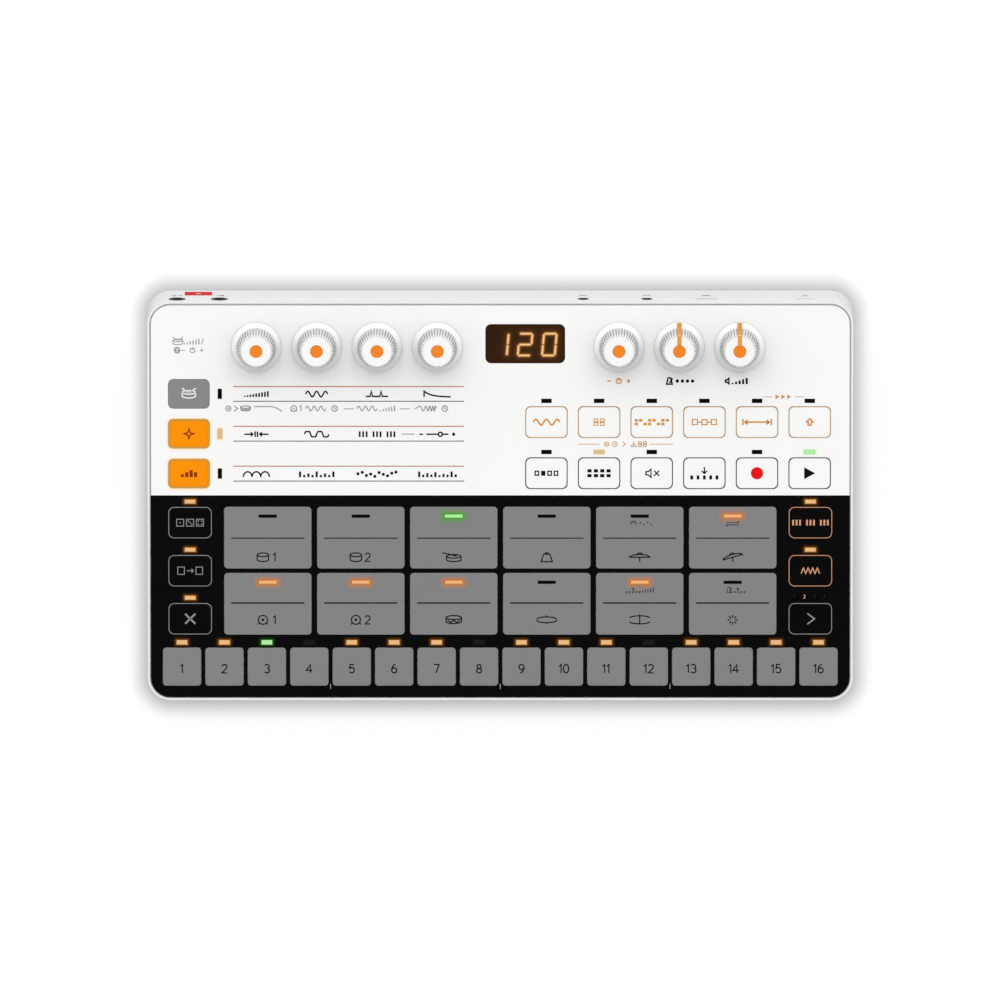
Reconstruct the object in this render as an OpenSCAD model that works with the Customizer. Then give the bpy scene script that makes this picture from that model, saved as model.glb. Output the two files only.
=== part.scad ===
// Desktop drum machine: a sloped case with film overlays, keys, pads, knobs, boards and a battery bay.
// X runs to the right, Y to the rear and Z up. The origin is under the middle, on the surface it stands on.
// "v" is a distance up the sloped top from the film's front edge, and "d" a depth below the film.

/* [Case] */
// Angle of the sloped top, in degrees
tilt = 9.5; // [6:0.5:13]
// Width of the raised rim around the film
rim_w = 0.75; // [0.5:0.05:2]
// Gap between the film and the rim
rim_gap = 0.35; // [0.1:0.05:0.6]
// Corner radius of the case
case_r = 8.3; // [5:0.1:12]
// Thickness of the side, front and rear walls
wall = 2.2; // [1.6:0.1:3]
// Thickness of the deck under the film
deck_t = 2; // [1.6:0.1:3]
// Thickness of the underside
floor_t = 2; // [1.6:0.1:3]
// Depth of the rear wall, square to the sloped top
rear_h = 25.7; // [22:0.1:32]
// Height of the lower shell at its front wall
lower_front_h = 3; // [2.4:0.1:6]
// Length of the flat part of the underside
flat_l = 124; // [115:1:132]
// Distance between the main board and the seam of the two shells
seam_gap = 0.3; // [0.2:0.05:0.6]

/* [Film] */
// Thickness of the film overlays and of the key and pad tiles
film_t = 0.5; // [0.4:0.05:0.8]
// Gap between a fixed tile or lens and what surrounds it
tile_gap = 0.1; // [0.05:0.01:0.15]

/* [Step pads] */
// Width of a step pad
step_w = 13.8; // [12:0.1:16]
// Length of a step pad
step_l = 14; // [10:0.1:18]
// Gap between step pads
step_gap = 1.61; // [1:0.01:3]
// Corner radius of a step pad
step_r = 1.2; // [0.6:0.1:2.5]
// Film in front of the step pads
step_edge = 4.3; // [3:0.1:8]
// Film beside the step pads
step_side = 4.425; // [3.5:0.005:9]
// Gap between a step pad and its light
step_led_gap = 1.15; // [0.8:0.05:2]
// Width of a step light
step_led_w = 3.8; // [3:0.1:5]
// Length of a step light
step_led_l = 1.5; // [1:0.1:2]

/* [Pads] */
// Width of a drum pad
pad_w = 31.6; // [28:0.1:36]
// Length of a drum pad
pad_l = 22.7; // [18:0.1:28]
// Gap between pads side by side
pad_gap = 2.15; // [1.5:0.05:4]
// Gap between the two rows of pads
pad_row_gap = 1.65; // [1.5:0.05:4]
// Corner radius of a drum pad
pad_r = 1.3; // [0.6:0.1:2.5]
// Gap between the step lights and the pads
pad_led_gap = 2.15; // [1.5:0.05:4]
// Width of a pad's light bar
pad_led_w = 6.4; // [5:0.1:9]
// Length of a pad's light bar
pad_led_l = 1; // [0.8:0.1:1.6]
// Distance of the light bar's middle from the pad's rear edge
pad_led_in = 3.45; // [2:0.05:5]
// Dark film behind the pads
pad_edge = 4.2; // [3:0.1:7]

/* [Side keys] */
// Width of a side key
side_w = 15.8; // [13:0.1:18]
// Length of a side key
side_l = 11.6; // [9:0.1:13]
// Gap between side keys, one behind the other
side_row_gap = 6.1; // [5:0.1:8]
// Gap between the pads and the side keys
side_gap = 4.5; // [3:0.1:7]
// Film outside the side keys
side_edge = 6.3; // [5:0.1:8]
// Gap between a side key and its light
side_led_gap = 1.25; // [0.8:0.05:2]
// Width of a side light
side_led_w = 3.8; // [3:0.1:5]
// Length of a side light
side_led_l = 1.3; // [1:0.1:2]
// Width of one light of the bank row
bank_led_w = 2; // [1.6:0.1:2.6]
// Distance between the lights of the bank row
bank_led_pitch = 3.6; // [3.2:0.1:4.4]

/* [Function keys] */
// Width of a function key
func_w = 15.4; // [13:0.1:17]
// Length of a function key
func_l = 11.7; // [9:0.1:13]
// Gap between function keys, side by side
func_gap = 3.7; // [2.5:0.1:6]
// Gap between the two rows of function keys
func_row_gap = 7.1; // [6:0.1:9]
// Light film in front of the function keys
func_edge = 2.3; // [2:0.1:5]
// Film to the right of the function keys
func_side = 6.95; // [6.5:0.05:10]
// Gap between a function key and its light
func_led_gap = 1.25; // [0.8:0.05:2]
// Width of a function light
func_led_w = 3.6; // [3:0.1:5]
// Length of a function light
func_led_l = 1.4; // [1:0.1:2]

/* [Mode keys] */
// Width of a mode key
mode_w = 15.1; // [13:0.1:17]
// Length of a mode key
mode_l = 10.85; // [9:0.05:12]
// Gap between mode keys
mode_row_gap = 3.8; // [3:0.1:5]
// Light film in front of the mode keys
mode_edge = 2.6; // [2:0.1:5]
// Film to the left of the mode keys
mode_side = 6.4; // [6:0.1:9]
// Gap between a mode key and its light
mode_led_gap = 3; // [2:0.1:5]
// Width of a mode light
mode_led_w = 1.35; // [1:0.05:2]
// Length of a mode light
mode_led_l = 3.6; // [3:0.1:5]

/* [Key action] */
// Corner radius of a key
key_r = 1.9; // [1:0.1:3]
// Gap all round a moving key
key_gap = 0.15; // [0.12:0.01:0.3]
// How far a key goes down
key_travel = 0.4; // [0.2:0.05:0.6]
// Room left under a pressed key
key_rest = 0.2; // [0.1:0.05:0.3]
// Diameter of a key's plunger
plunger_d = 4; // [3:0.1:4.6]
// Gap round the plunger
plunger_gap = 0.2; // [0.15:0.01:0.3]
// Width of the switch under a key
switch_w = 6.4; // [6:0.1:7]
// Height of the switch under a key
switch_h = 0.95; // [0.8:0.05:1]
// Gap between a plunger and its switch, and under a pressed plunger
switch_room = 0.1; // [0.1:0.01:0.15]
// Height of a light's body on the board
led_h = 0.85; // [0.6:0.05:0.9]
// Gap between a light's body and its lens
led_room = 0.05; // [0.02:0.01:0.1]

/* [Knobs] */
// Diameter of a knob's skirt
knob_d = 17.9; // [16:0.1:19]
// Height of a knob's top above the film
knob_h = 11; // [9:0.1:14]
// Gap between the knob's skirt and the film
knob_lift = 0.5; // [0.4:0.05:1]
// Height of the skirt's rim
skirt_h = 0.8; // [0.5:0.1:1.5]
// Height of the sloped part of the skirt
skirt_slope_h = 1; // [0.5:0.1:2]
// Diameter of the grip over its ribs, at the bottom
grip_d = 14.4; // [13:0.1:15]
// Diameter of the grip over its ribs, at the top
grip_top_d = 12.5; // [11:0.1:13]
// Depth of the grooves between the ribs
rib_depth = 0.5; // [0.3:0.05:0.8]
// Width of a rib
rib_w = 0.5; // [0.3:0.05:0.7]
// Height of the bevel round the knob's top
top_bevel = 0.5; // [0.3:0.1:1]
// Diameter of the round mark on the knob's top
dot_d = 4.7; // [3:0.1:6]
// Depth of the round mark
dot_depth = 0.15; // [0.1:0.05:0.3]
// Width of the pointer bar
pointer_w = 1.6; // [1:0.1:2.4]
// Distance between neighbouring knobs
knob_pitch = 21.9; // [20.5:0.1:24]
// Gap between the display and the knob on its left
knob_gap_left = 8.55; // [5:0.05:12]
// Gap between the display and the knob on its right
knob_gap_right = 10.65; // [7:0.05:14]
// Gap between the rear function keys and the knobs
knob_row_gap = 12.9; // [12.5:0.1:18]
// Film behind the knobs
knob_edge = 6.45; // [5:0.05:10]
// Blank film to the right of the last knob
right_space = 30.8; // [26:0.1:36]

/* [Display] */
// Width of the display window
display_w = 28.7; // [25:0.1:32]
// Length of the display window
display_l = 14.2; // [12.5:0.1:16]
// Corner radius of the display window
display_r = 2; // [1:0.1:3]
// Distance of the window's middle from the middle of the case
display_x = 9.05; // [5:0.05:13]
// How far the window's middle lies behind the knobs
display_up = 1.1; // [-1:0.1:2]
// Width of the hidden flange round the window
flange_w = 0.8; // [0.5:0.1:1.5]
// Thickness of the window's flange
flange_t = 1; // [0.6:0.1:1.2]
// Width of the digit module
module_w = 24; // [20:0.1:25]
// Length of the digit module
module_l = 12; // [10:0.1:12.4]

/* [Boards] */
// Thickness of both circuit boards
board_t = 1.6; // [1:0.1:2]
// Gap between the deck and the panel board
board_drop = 1.5; // [1.4:0.1:2.5]
// Film length in front of the panel board
board_edge = 3; // [2.6:0.1:5]
// Distance from the knobs forward to the main board's front edge
board_split = 10; // [9:0.1:12]
// Gap between the two boards
board_gap = 2; // [1:0.1:3]
// Distance of the main board from the rear wall
main_rear_gap = 0.4; // [0.3:0.05:1]
// Distance of the main board from the side walls
main_side_gap = 1.5; // [1:0.1:4]
// Width of the ribbon cable
ribbon_w = 22; // [15:0.5:30]
// Thickness of the ribbon cable
ribbon_t = 0.4; // [0.3:0.05:0.8]
// Length of the ribbon's plugs
plug_l = 4; // [3:0.1:5]
// Height of the ribbon's plugs
plug_h = 2; // [1.6:0.1:2.4]
// How far a plug reaches past the ribbon, each side
plug_side = 2; // [1:0.1:4]
// Distance of a plug's middle from its board's edge
plug_in = 6; // [4:0.1:8]
// Width of the large chip
chip_w = 14; // [10:0.5:16]
// Width of the small chip
small_chip_w = 10; // [6:0.5:12]
// Height of both chips
chip_h = 1.2; // [0.8:0.1:1.6]
// Distance of the chips' middles from the middle of the pads, rearward
chip_up = 12; // [8:0.5:16]

/* [Controls under the deck] */
// Height of the rotary controls
pot_h = 5.8; // [5.2:0.1:7]
// Width of a rotary control
pot_w = 9.6; // [9:0.1:11]
// Width of the endless encoder
encoder_w = 11; // [10:0.1:12]
// Gap between the deck and the rotary controls
pot_gap = 0.2; // [0.1:0.05:0.4]
// Diameter of a shaft
shaft_d = 6; // [5:0.1:6.4]
// Gap round a shaft in its bushing
shaft_gap = 0.05; // [0.02:0.01:0.09]
// Diameter of a bushing
bushing_d = 7.8; // [7.4:0.1:8.6]
// Gap round a bushing in the deck
bushing_gap = 0.2; // [0.15:0.05:0.5]
// Depth of the flat along the shaft
shaft_flat = 1.5; // [1:0.1:2]
// Gap round a shaft in its knob
knob_bore_gap = 0.03; // [0.02:0.01:0.08]
// Thickness of the knob over its shaft
knob_cap_t = 2; // [1.5:0.1:4]

/* [Rear sockets] */
// Height of the audio jacks
jack_h = 5; // [4.5:0.1:5.5]
// Width of an audio jack
jack_w = 6.4; // [5.5:0.1:7.5]
// Length of an audio jack
jack_l = 12.1; // [10:0.1:13]
// Bore of an audio jack
jack_bore_d = 3.6; // [3.52:0.01:3.8]
// Diameter of the hole in the rear wall for an audio jack
jack_hole_d = 5.7; // [4.5:0.1:6.5]
// Distance between the two audio jacks
jack_pitch = 15.3; // [14:0.1:18]
// Gap between the first knob and the audio jacks
jack_knob_gap = 4.45; // [3.5:0.05:6]
// Distance of the outer audio jack from the film's edge
jack_edge = 9.6; // [8.5:0.1:12]
// Width of a small data jack
data_jack_w = 5; // [4:0.1:6]
// Height of a small data jack
data_jack_h = 4.4; // [4:0.1:5]
// Length of a small data jack
data_jack_l = 11; // [9:0.1:12]
// Bore of a small data jack
data_bore_d = 2.6; // [2.52:0.01:2.8]
// Diameter of the hole in the rear wall for a data jack
data_hole_d = 3.75; // [3.2:0.05:4.2]
// Distance of the first data jack from the next knob
data_jack_in = 12.9; // [11:0.1:14]
// Distance of the second data jack from the middle between two knobs
data_jack_off = 0.8; // [0:0.1:1.5]
// Thickness of material left at a jack's closed end
jack_end = 1; // [0.8:0.1:2]
// Width of the small power and data socket
usb_w = 7.5; // [7:0.1:8]
// Height of the power and data socket
usb_h = 2.7; // [2.4:0.1:3]
// Length of the power and data socket
usb_l = 5.6; // [5:0.1:6]
// Thickness of the socket's metal shell
usb_shell = 0.3; // [0.2:0.05:0.4]
// Gap between the socket and its opening in the wall
usb_gap = 0.3; // [0.2:0.05:0.6]
// Distance of the socket from the middle between two knobs
usb_off = 1.1; // [0:0.1:1.5]
// Gap between the rear wall and the sockets behind it
mouth_gap = 0.15; // [0.1:0.05:0.3]

/* [Power switch] */
// Width of the power switch
power_w = 9.4; // [9:0.1:10.5]
// Length of the power switch
power_l = 4.4; // [4:0.1:5]
// Height of the power switch
power_h = 3.8; // [3.4:0.1:4.4]
// Width of the switch's handle
slider_w = 2.4; // [2:0.1:2.8]
// Height of the switch's handle
slider_h = 1.6; // [1.2:0.1:1.8]
// How far the handle goes each way
slider_travel = 2; // [1:0.1:2.1]
// Gap round the handle
slider_gap = 0.2; // [0.15:0.05:0.3]
// How far the handle's end lies inside the rear face
slider_in = 0.3; // [0.1:0.1:1]
// Distance of the switch from the film's right edge
power_edge = 16.4; // [13:0.1:20]

/* [Battery bay] */
// Diameter of a cell
cell_d = 14.5; // [14:0.1:15]
// Length of a cell, with its button
cell_l = 50.5; // [49.5:0.1:51]
// Gap round the cells
cell_gap = 0.3; // [0.2:0.05:0.6]
// Room for the spring or plate at each end of the bay
contact_room = 3; // [2:0.1:5]
// Thickness of a contact plate
contact_t = 0.4; // [0.3:0.05:0.6]
// Thickness of the bay's walls
bay_wall = 1.6; // [1.2:0.1:2.4]
// Flat underside left behind the bay
bay_edge = 4; // [3:0.1:8]
// Thickness of the battery door
door_t = 1.8; // [1.4:0.1:2]
// Gap round the battery door
door_gap = 0.3; // [0.2:0.05:0.5]
// Radius of the door's hinge barrel
hinge_r = 1.2; // [1:0.05:1.4]
// Diameter of the door's hinge pins
pin_d = 1.2; // [1:0.1:1.4]
// Gap round the hinge pins
pin_gap = 0.06; // [0.03:0.01:0.09]
// Length of a hinge pin
pin_l = 1.3; // [1:0.1:1.4]
// Width of the door's finger tongue
tongue_w = 14; // [8:0.5:20]
// Height of the tongue above the door
tongue_h = 2.6; // [1.5:0.1:3]
// Thickness of the tongue
tongue_t = 1.2; // [0.8:0.1:1.6]
// Diameter of the thumb recess in the door
thumb_d = 10; // [8:0.5:12]
// Depth of the thumb recess
thumb_depth = 0.6; // [0.4:0.1:0.8]
// Distance of the thumb recess from the rear end of the bay
thumb_in = 7; // [6.5:0.5:10]

/* [Feet] */
// Diameter of a rubber foot
foot_d = 10; // [8:0.5:14]
// Height of the case above the surface it stands on
foot_h = 2.5; // [1.5:0.1:4]
// Depth of a foot's seat in the underside
foot_seat = 0.6; // [0.3:0.1:0.8]
// Distance of the feet from the sides of the case
foot_side = 20; // [18:0.5:30]
// Distance of the feet from the ends of the flat underside
foot_end = 10; // [8:0.5:14]

/* [Screws] */
// Diameter of a screw
screw_d = 2.4; // [2:0.1:2.6]
// Length of a screw under its head
screw_l = 4.4; // [4:0.1:4.5]
// Diameter of a screw's head
head_d = 4.4; // [4:0.1:4.8]
// Height of a screw's head
head_h = 1.5; // [1.2:0.1:2]
// Gap round a screw in its pilot hole
pilot_gap = 0.04; // [0.02:0.01:0.08]
// Gap round a screw in a clear hole
clear_gap = 0.15; // [0.1:0.05:0.3]
// Gap round a screw's head in a deep seat
head_gap = 0.3; // [0.2:0.05:0.5]
// Radius of a board screw's boss
boss_r = 2.4; // [2:0.1:2.6]
// Radius of a case screw's post
post_r = 2.8; // [2.4:0.1:3]
// Material between a case screw's head and the seam
seat_t = 2.2; // [2:0.1:2.4]
// Wall round a deep screw seat
tower_wall = 1.2; // [1:0.1:1.4]
// Distance of the case screws from the inner wall
post_in = 4.6; // [4.4:0.1:6]
// Distance of the front case screws from the film's front edge
post_front = 7; // [6:0.5:12]

/* [Hidden] */
$fn = 64;
eps = 0.01;
s = sin(tilt);
c = cos(tilt);
step_n = 16;
pad_cols = 6;
pad_rows = 2;
func_cols = 6;
rib_n = 40;

bezel = rim_w + rim_gap;
step_pitch = step_w + step_gap;
step_block = step_n * step_pitch - step_gap;
pad_pitch = pad_w + pad_gap;
pad_block = pad_cols * pad_pitch - pad_gap;
func_pitch = func_w + func_gap;

// Places across the case
knob_l0 = display_x - display_w / 2 - knob_gap_left - knob_d / 2 - 3 * knob_pitch;
knob_r0 = display_x + display_w / 2 + knob_gap_right + knob_d / 2;
knob_xs = [
  knob_l0,
  knob_l0 + knob_pitch,
  knob_l0 + 2 * knob_pitch,
  knob_l0 + 3 * knob_pitch,
  knob_r0,
  knob_r0 + knob_pitch,
  knob_r0 + 2 * knob_pitch
];
jack_x2 = knob_l0 - knob_d / 2 - jack_knob_gap;
jack_x1 = jack_x2 - jack_pitch;
data_x1 = knob_r0 - data_jack_in;
data_x2 = knob_r0 + knob_pitch / 2 - data_jack_off;
usb_x = knob_r0 + 1.5 * knob_pitch - usb_off;
film_w = max(
  step_block + 2 * step_side,
  pad_block + 2 * (side_gap + side_w + side_edge),
  2 * (jack_edge - jack_x1),
  2 * (knob_xs[6] + knob_d / 2 + right_space)
);
power_x = film_w / 2 - power_edge;
side_x = pad_block / 2 + side_gap + side_w / 2;
mode_x = mode_side + mode_w / 2 - film_w / 2;
mode_led_x = mode_x + mode_w / 2 + mode_led_gap + mode_led_w / 2;
function step_x(i) = (i - (step_n - 1) / 2) * step_pitch;
function pad_x(i) = (i - (pad_cols - 1) / 2) * pad_pitch;
function func_x(i) = film_w / 2 - func_side - func_w / 2 - (func_cols - 1 - i) * func_pitch;

// Places up the sloped top
step_v = step_edge + step_l / 2;
step_led_v = step_edge + step_l + step_led_gap + step_led_l / 2;
pad_v0 = step_led_v + step_led_l / 2 + pad_led_gap;
pad_v1 = pad_v0 + pad_rows * pad_l + (pad_rows - 1) * pad_row_gap;
pad_mid_v = (pad_v0 + pad_v1) / 2;
dark_l = pad_v1 + pad_edge;
function pad_v(r) = pad_v0 + pad_l / 2 + r * (pad_l + pad_row_gap);
function side_v(k) = pad_mid_v + (k - 1) * (side_l + side_row_gap);
function side_led_v(k) = side_v(k) + side_l / 2 + side_led_gap + side_led_l / 2;
function func_v(r) = dark_l + func_edge + func_l / 2 + r * (func_l + func_row_gap);
function func_led_v(r) = func_v(r) + func_l / 2 + func_led_gap + func_led_l / 2;
function mode_v(k) = dark_l + mode_edge + mode_l / 2 + k * (mode_l + mode_row_gap);
knob_v = func_v(1) + func_l / 2 + knob_row_gap + knob_d / 2;
film_l = knob_v + knob_d / 2 + knob_edge;
display_v = knob_v + display_up;
case_w = film_w + 2 * bezel;
case_l = film_l + 2 * bezel;
film_r = case_r - bezel;

// Depths below the film
deck_d = film_t + deck_t;
panel_top = deck_d + board_drop;
panel_bot = panel_top + board_t;
main_top = deck_d + pot_gap + pot_h;
main_bot = main_top + board_t;
seam_d = main_bot + seam_gap;
pocket_d = film_t + key_travel + key_rest;
plunger_bot = panel_top - switch_h - switch_room;
well_d = plunger_bot + key_travel + switch_room;
lens_bot = panel_top - led_h - led_room;

// The sloped top in the part's own axes
film_y = -(film_l * c + rear_h * s) / 2;
film_z = foot_h + bezel * s + (seam_d + lower_front_h) * c;
front_y = film_y - bezel * c + (seam_d + lower_front_h) * s;
flat_y = front_y + flat_l;
rear_y = film_y + (film_l + bezel) * c + rear_h * s;
rear_z = film_z + (film_l + bezel) * s - rear_h * c;
slope = atan2(rear_z - foot_h, rear_y - flat_y);

// Boards
inner_w = case_w / 2 - wall;
post_x = inner_w - post_in;
post_vs = [post_front, (post_front + knob_v - board_split - 5) / 2, knob_v - board_split - 5];
panel_hw = post_x - post_r - 0.3;
panel_v1 = knob_v - board_split - board_gap;
main_v0 = knob_v - board_split;
rear_in_v = film_l + bezel - wall;
mouth_v = rear_in_v - mouth_gap;
jack_d = main_top - jack_h / 2;
data_jack_d = main_top - data_jack_h / 2;
usb_d = main_top - usb_h / 2;
power_d = main_top - power_h / 2;
panel_screws = [
  [0, pad_mid_v],
  [-2 * pad_pitch, pad_mid_v],
  [2 * pad_pitch, pad_mid_v],
  [-4 * step_pitch, step_v],
  [4 * step_pitch, step_v],
  [func_x(2) + func_pitch / 2, (func_v(0) + func_v(1)) / 2],
  [-func_x(2) - func_pitch / 2, (func_v(0) + func_v(1)) / 2]
];
main_screws = [
  [(jack_x1 + jack_x2) / 2, knob_v],
  [(knob_xs[1] + knob_xs[2]) / 2, knob_v],
  [(knob_xs[4] + knob_xs[5]) / 2, knob_v - pot_w / 2],
  [knob_xs[6] + pot_w / 2 + boss_r + 3, knob_v]
];

// Battery bay
bay_w = 2 * cell_l + 2 * contact_room;
bay_l = 2 * cell_d + 3 * cell_gap;
bay_y1 = flat_y - bay_edge;
bay_y0 = bay_y1 - bay_l;
cell_z = foot_h + door_t + cell_gap + cell_d / 2;
bay_top = cell_z + cell_d / 2 + cell_gap;
hinge_y = bay_y0 + door_gap + hinge_r;
hinge_z = foot_h + hinge_r;
cell_ys = [bay_y0 + cell_gap + cell_d / 2, bay_y1 - cell_gap - cell_d / 2];

// Every light: place across, place up the slope, width, length
step_leds = [for (i = [0:step_n - 1]) [step_x(i), step_led_v, step_led_w, step_led_l]];
pad_leds = [
  for (r = [0:pad_rows - 1])
  for (i = [0:pad_cols - 1])
  [pad_x(i), pad_v(r) + pad_l / 2 - pad_led_in, pad_led_w, pad_led_l]
];
left_leds = [for (k = [0:2]) [-side_x, side_led_v(k), side_led_w, side_led_l]];
right_leds = [for (k = [1:2]) [side_x, side_led_v(k), side_led_w, side_led_l]];
bank_leds = [
  for (i = [0:3])
  [side_x + (i - 1.5) * bank_led_pitch, side_led_v(0), bank_led_w, side_led_l]
];
func_leds_rear = [for (i = [0:func_cols - 1]) [func_x(i), func_led_v(1), func_led_w, func_led_l]];
func_leds_front = [for (i = [0, 1, 2, 4, 5]) [func_x(i), func_led_v(0), func_led_w, func_led_l]];
mode_leds = [for (k = [0:2]) [mode_led_x, mode_v(k), mode_led_w, mode_led_l]];
dark_leds = concat(step_leds, left_leds, right_leds, bank_leds);
light_leds = concat(func_leds_rear, func_leds_front, mode_leds);
all_leds = concat(dark_leds, pad_leds, light_leds);

// Every key: place across, place up the slope, width, length
mode_keys = [for (k = [0:2]) [mode_x, mode_v(k), mode_w, mode_l]];
rear_keys = [for (i = [0:func_cols - 1]) [func_x(i), func_v(1), func_w, func_l]];
front_keys = [for (i = [0:func_cols - 1]) [func_x(i), func_v(0), func_w, func_l]];
left_keys = [for (k = [0:2]) [-side_x, side_v(k), side_w, side_l]];
right_keys = [for (k = [0:2]) [side_x, side_v(k), side_w, side_l]];
light_keys = concat(mode_keys, rear_keys, front_keys);
dark_keys = concat(left_keys, right_keys);
all_keys = concat(light_keys, dark_keys);

// Local axes of the sloped top: X across, Y up the slope, Z out of the film
module on_top() {
  translate([0, film_y, film_z])
    rotate([tilt, 0, 0])
      children();
}

// The point of the seam below a place on the sloped top, with upright axes
module at_seam(x, v) {
  translate([x, film_y + v * c + seam_d * s, film_z + v * s - seam_d * c])
    children();
}

module rounded(w, l, r) {
  square([w - 2 * r, l], center = true);
  square([w, l - 2 * r], center = true);
  for (sx = [-1, 1])
    for (sy = [-1, 1])
      translate([sx * (w / 2 - r), sy * (l / 2 - r)])
        circle(r);
}

module plate(x, v, w, l, r, d0, d1) {
  translate([x, v, -d1])
    linear_extrude(d1 - d0)
      rounded(w, l, r);
}

module box(x, v, w, l, d0, d1) {
  translate([x - w / 2, v - l / 2, -d1])
    cube([w, l, d1 - d0]);
}

module rod(x, v, r, d0, d1) {
  translate([x, v, -d1])
    cylinder(h = d1 - d0, r = r);
}

// A round hole or rod along the slope
module rod_v(x, v0, v1, r, d) {
  translate([x, v0, -d])
    rotate([-90, 0, 0])
      cylinder(h = v1 - v0, r = r);
}

module slab(inset, d0, d1) {
  plate(0, film_l / 2, case_w - 2 * inset, case_l - 2 * inset, case_r - inset, d0, d1);
}

// Everything above the underside, moved up by "up"
module above_floor(up) {
  far = case_l;
  turn = flat_y - up * tan(slope / 2);
  rotate([90, 0, 90])
    linear_extrude(case_w + 2, center = true)
      polygon([
        [-far, foot_h + up],
        [turn, foot_h + up],
        [turn + far * cos(slope), foot_h + up + far * sin(slope)],
        [turn + far * cos(slope), 2 * far],
        [-far, 2 * far]
      ]);
}

// ---- shells ----

module upper_case() {
  color([0.93, 0.93, 0.92])
    difference() {
      union() {
        on_top() {
          difference() {
            slab(0, 0, seam_d);
            slab(wall, deck_d, seam_d + 1);
          }
          for (p = panel_screws)
            rod(p[0], p[1], boss_r, deck_d - eps, panel_top);
          for (p = main_screws)
            rod(p[0], p[1], boss_r, deck_d - eps, main_top);
        }
        for (sx = [-1, 1])
          for (v = post_vs)
            at_seam(sx * post_x, v)
              cylinder(h = (seam_d - film_t - 0.65 * deck_t) / c, r = post_r);
      }
      on_top() {
        plate(0, film_l / 2, film_w + 2 * rim_gap, film_l + 2 * rim_gap, film_r + rim_gap, -1, film_t);
        for (k = all_keys) {
          plate(k[0], k[1], k[2], k[3], key_r, 0, pocket_d);
          rod(k[0], k[1], plunger_d / 2 + plunger_gap, 0, deck_d + 1);
        }
        for (p = all_leds)
          box(p[0], p[1], p[2] + 2 * tile_gap, p[3] + 2 * tile_gap, 0, deck_d + 1);
        for (x = knob_xs)
          rod(x, knob_v, bushing_d / 2 + bushing_gap, 0, deck_d + 1);
        plate(
          display_x, display_v, display_w + 2 * flange_w + 2 * tile_gap,
          display_l + 2 * flange_w + 2 * tile_gap, display_r + flange_w, 0, film_t + flange_t
        );
        box(display_x, display_v, module_w + 4 * tile_gap, module_l + 4 * tile_gap, 0, deck_d + 1);
        for (p = panel_screws)
          rod(p[0], p[1], screw_d / 2 + pilot_gap, panel_bot - screw_l - 0.2, panel_bot);
        for (p = main_screws)
          rod(p[0], p[1], screw_d / 2 + pilot_gap, main_bot - screw_l - 0.4, main_bot);
        for (x = [jack_x1, jack_x2])
          rod_v(x, rear_in_v - 1, film_l + bezel + 1, jack_hole_d / 2, jack_d);
        for (x = [data_x1, data_x2])
          rod_v(x, rear_in_v - 1, film_l + bezel + 1, data_hole_d / 2, data_jack_d);
        box(usb_x, rear_in_v + wall / 2, usb_w + 2 * usb_gap, wall + 2, usb_d - usb_h / 2 - usb_gap, main_top);
        box(
          power_x, rear_in_v + wall / 2, slider_w + 2 * slider_travel + 2 * slider_gap, wall + 2,
          power_d - slider_h / 2 - slider_gap, power_d + slider_h / 2 + slider_gap
        );
      }
      for (sx = [-1, 1])
        for (v = post_vs)
          at_seam(sx * post_x, v)
            translate([0, 0, -1])
              cylinder(h = screw_l - seat_t + 1.6, r = screw_d / 2 + pilot_gap);
    }
}

module lower_case() {
  color([0.90, 0.90, 0.89])
    difference() {
      intersection() {
        on_top()
          slab(0, seam_d, 3 * rear_h);
        above_floor(0);
        union() {
          difference() {
            translate([0, 0, 2 * rear_h])
              cube([case_w + 2, 2 * case_l, 4 * rear_h], center = true);
            intersection() {
              on_top()
                slab(wall, seam_d - 1, 3 * rear_h);
              above_floor(floor_t);
            }
          }
          translate([-bay_w / 2 - bay_wall, bay_y0 - bay_wall, 0])
            cube([bay_w + 2 * bay_wall, bay_l + 2 * bay_wall, bay_top + bay_wall]);
          for (sx = [-1, 1])
            for (v = post_vs)
              at_seam(sx * post_x, v)
                translate([0, 0, -2 * rear_h])
                  cylinder(h = 2 * rear_h - 0.1, r = head_d / 2 + head_gap + tower_wall);
        }
      }
      translate([-bay_w / 2, bay_y0, 0])
        cube([bay_w, bay_l, bay_top]);
      translate([0, hinge_y, hinge_z])
        rotate([0, 90, 0])
          cylinder(h = bay_w + 2 * pin_l + 0.4, r = pin_d / 2 + pin_gap, center = true);
      for (sx = [-1, 1])
        for (v = post_vs)
          at_seam(sx * post_x, v) {
            translate([0, 0, -2 * rear_h])
              cylinder(h = 2 * rear_h - 0.1 - seat_t, r = head_d / 2 + head_gap);
            translate([0, 0, -seat_t - 1])
              cylinder(h = seat_t + 2, r = screw_d / 2 + clear_gap);
          }
      for (sx = [-1, 1])
        for (y = [front_y + foot_end, flat_y - foot_end])
          translate([sx * (case_w / 2 - foot_side), y, 0])
            cylinder(h = foot_h + foot_seat, r = foot_d / 2 + tile_gap);
    }
}

// ---- film, pads and lights ----

module light_leds_cut() {
  for (p = light_leds)
    box(p[0], p[1], p[2] + 2 * tile_gap, p[3] + 2 * tile_gap, -1, film_t + 1);
}

module control_overlay() {
  color([0.97, 0.97, 0.96])
    on_top()
      difference() {
        plate(0, film_l / 2, film_w, film_l, film_r, 0, film_t);
        box(0, dark_l / 2 - 5, film_w + 2, dark_l + 10, -1, film_t + 1);
        for (k = light_keys)
          plate(k[0], k[1], k[2], k[3], key_r, -1, film_t + 1);
        light_leds_cut();
        for (x = knob_xs)
          rod(x, knob_v, bushing_d / 2 + bushing_gap, -1, film_t + 1);
        plate(
          display_x, display_v, display_w + 2 * tile_gap, display_l + 2 * tile_gap,
          display_r + tile_gap, -1, film_t + 1
        );
      }
}

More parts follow.
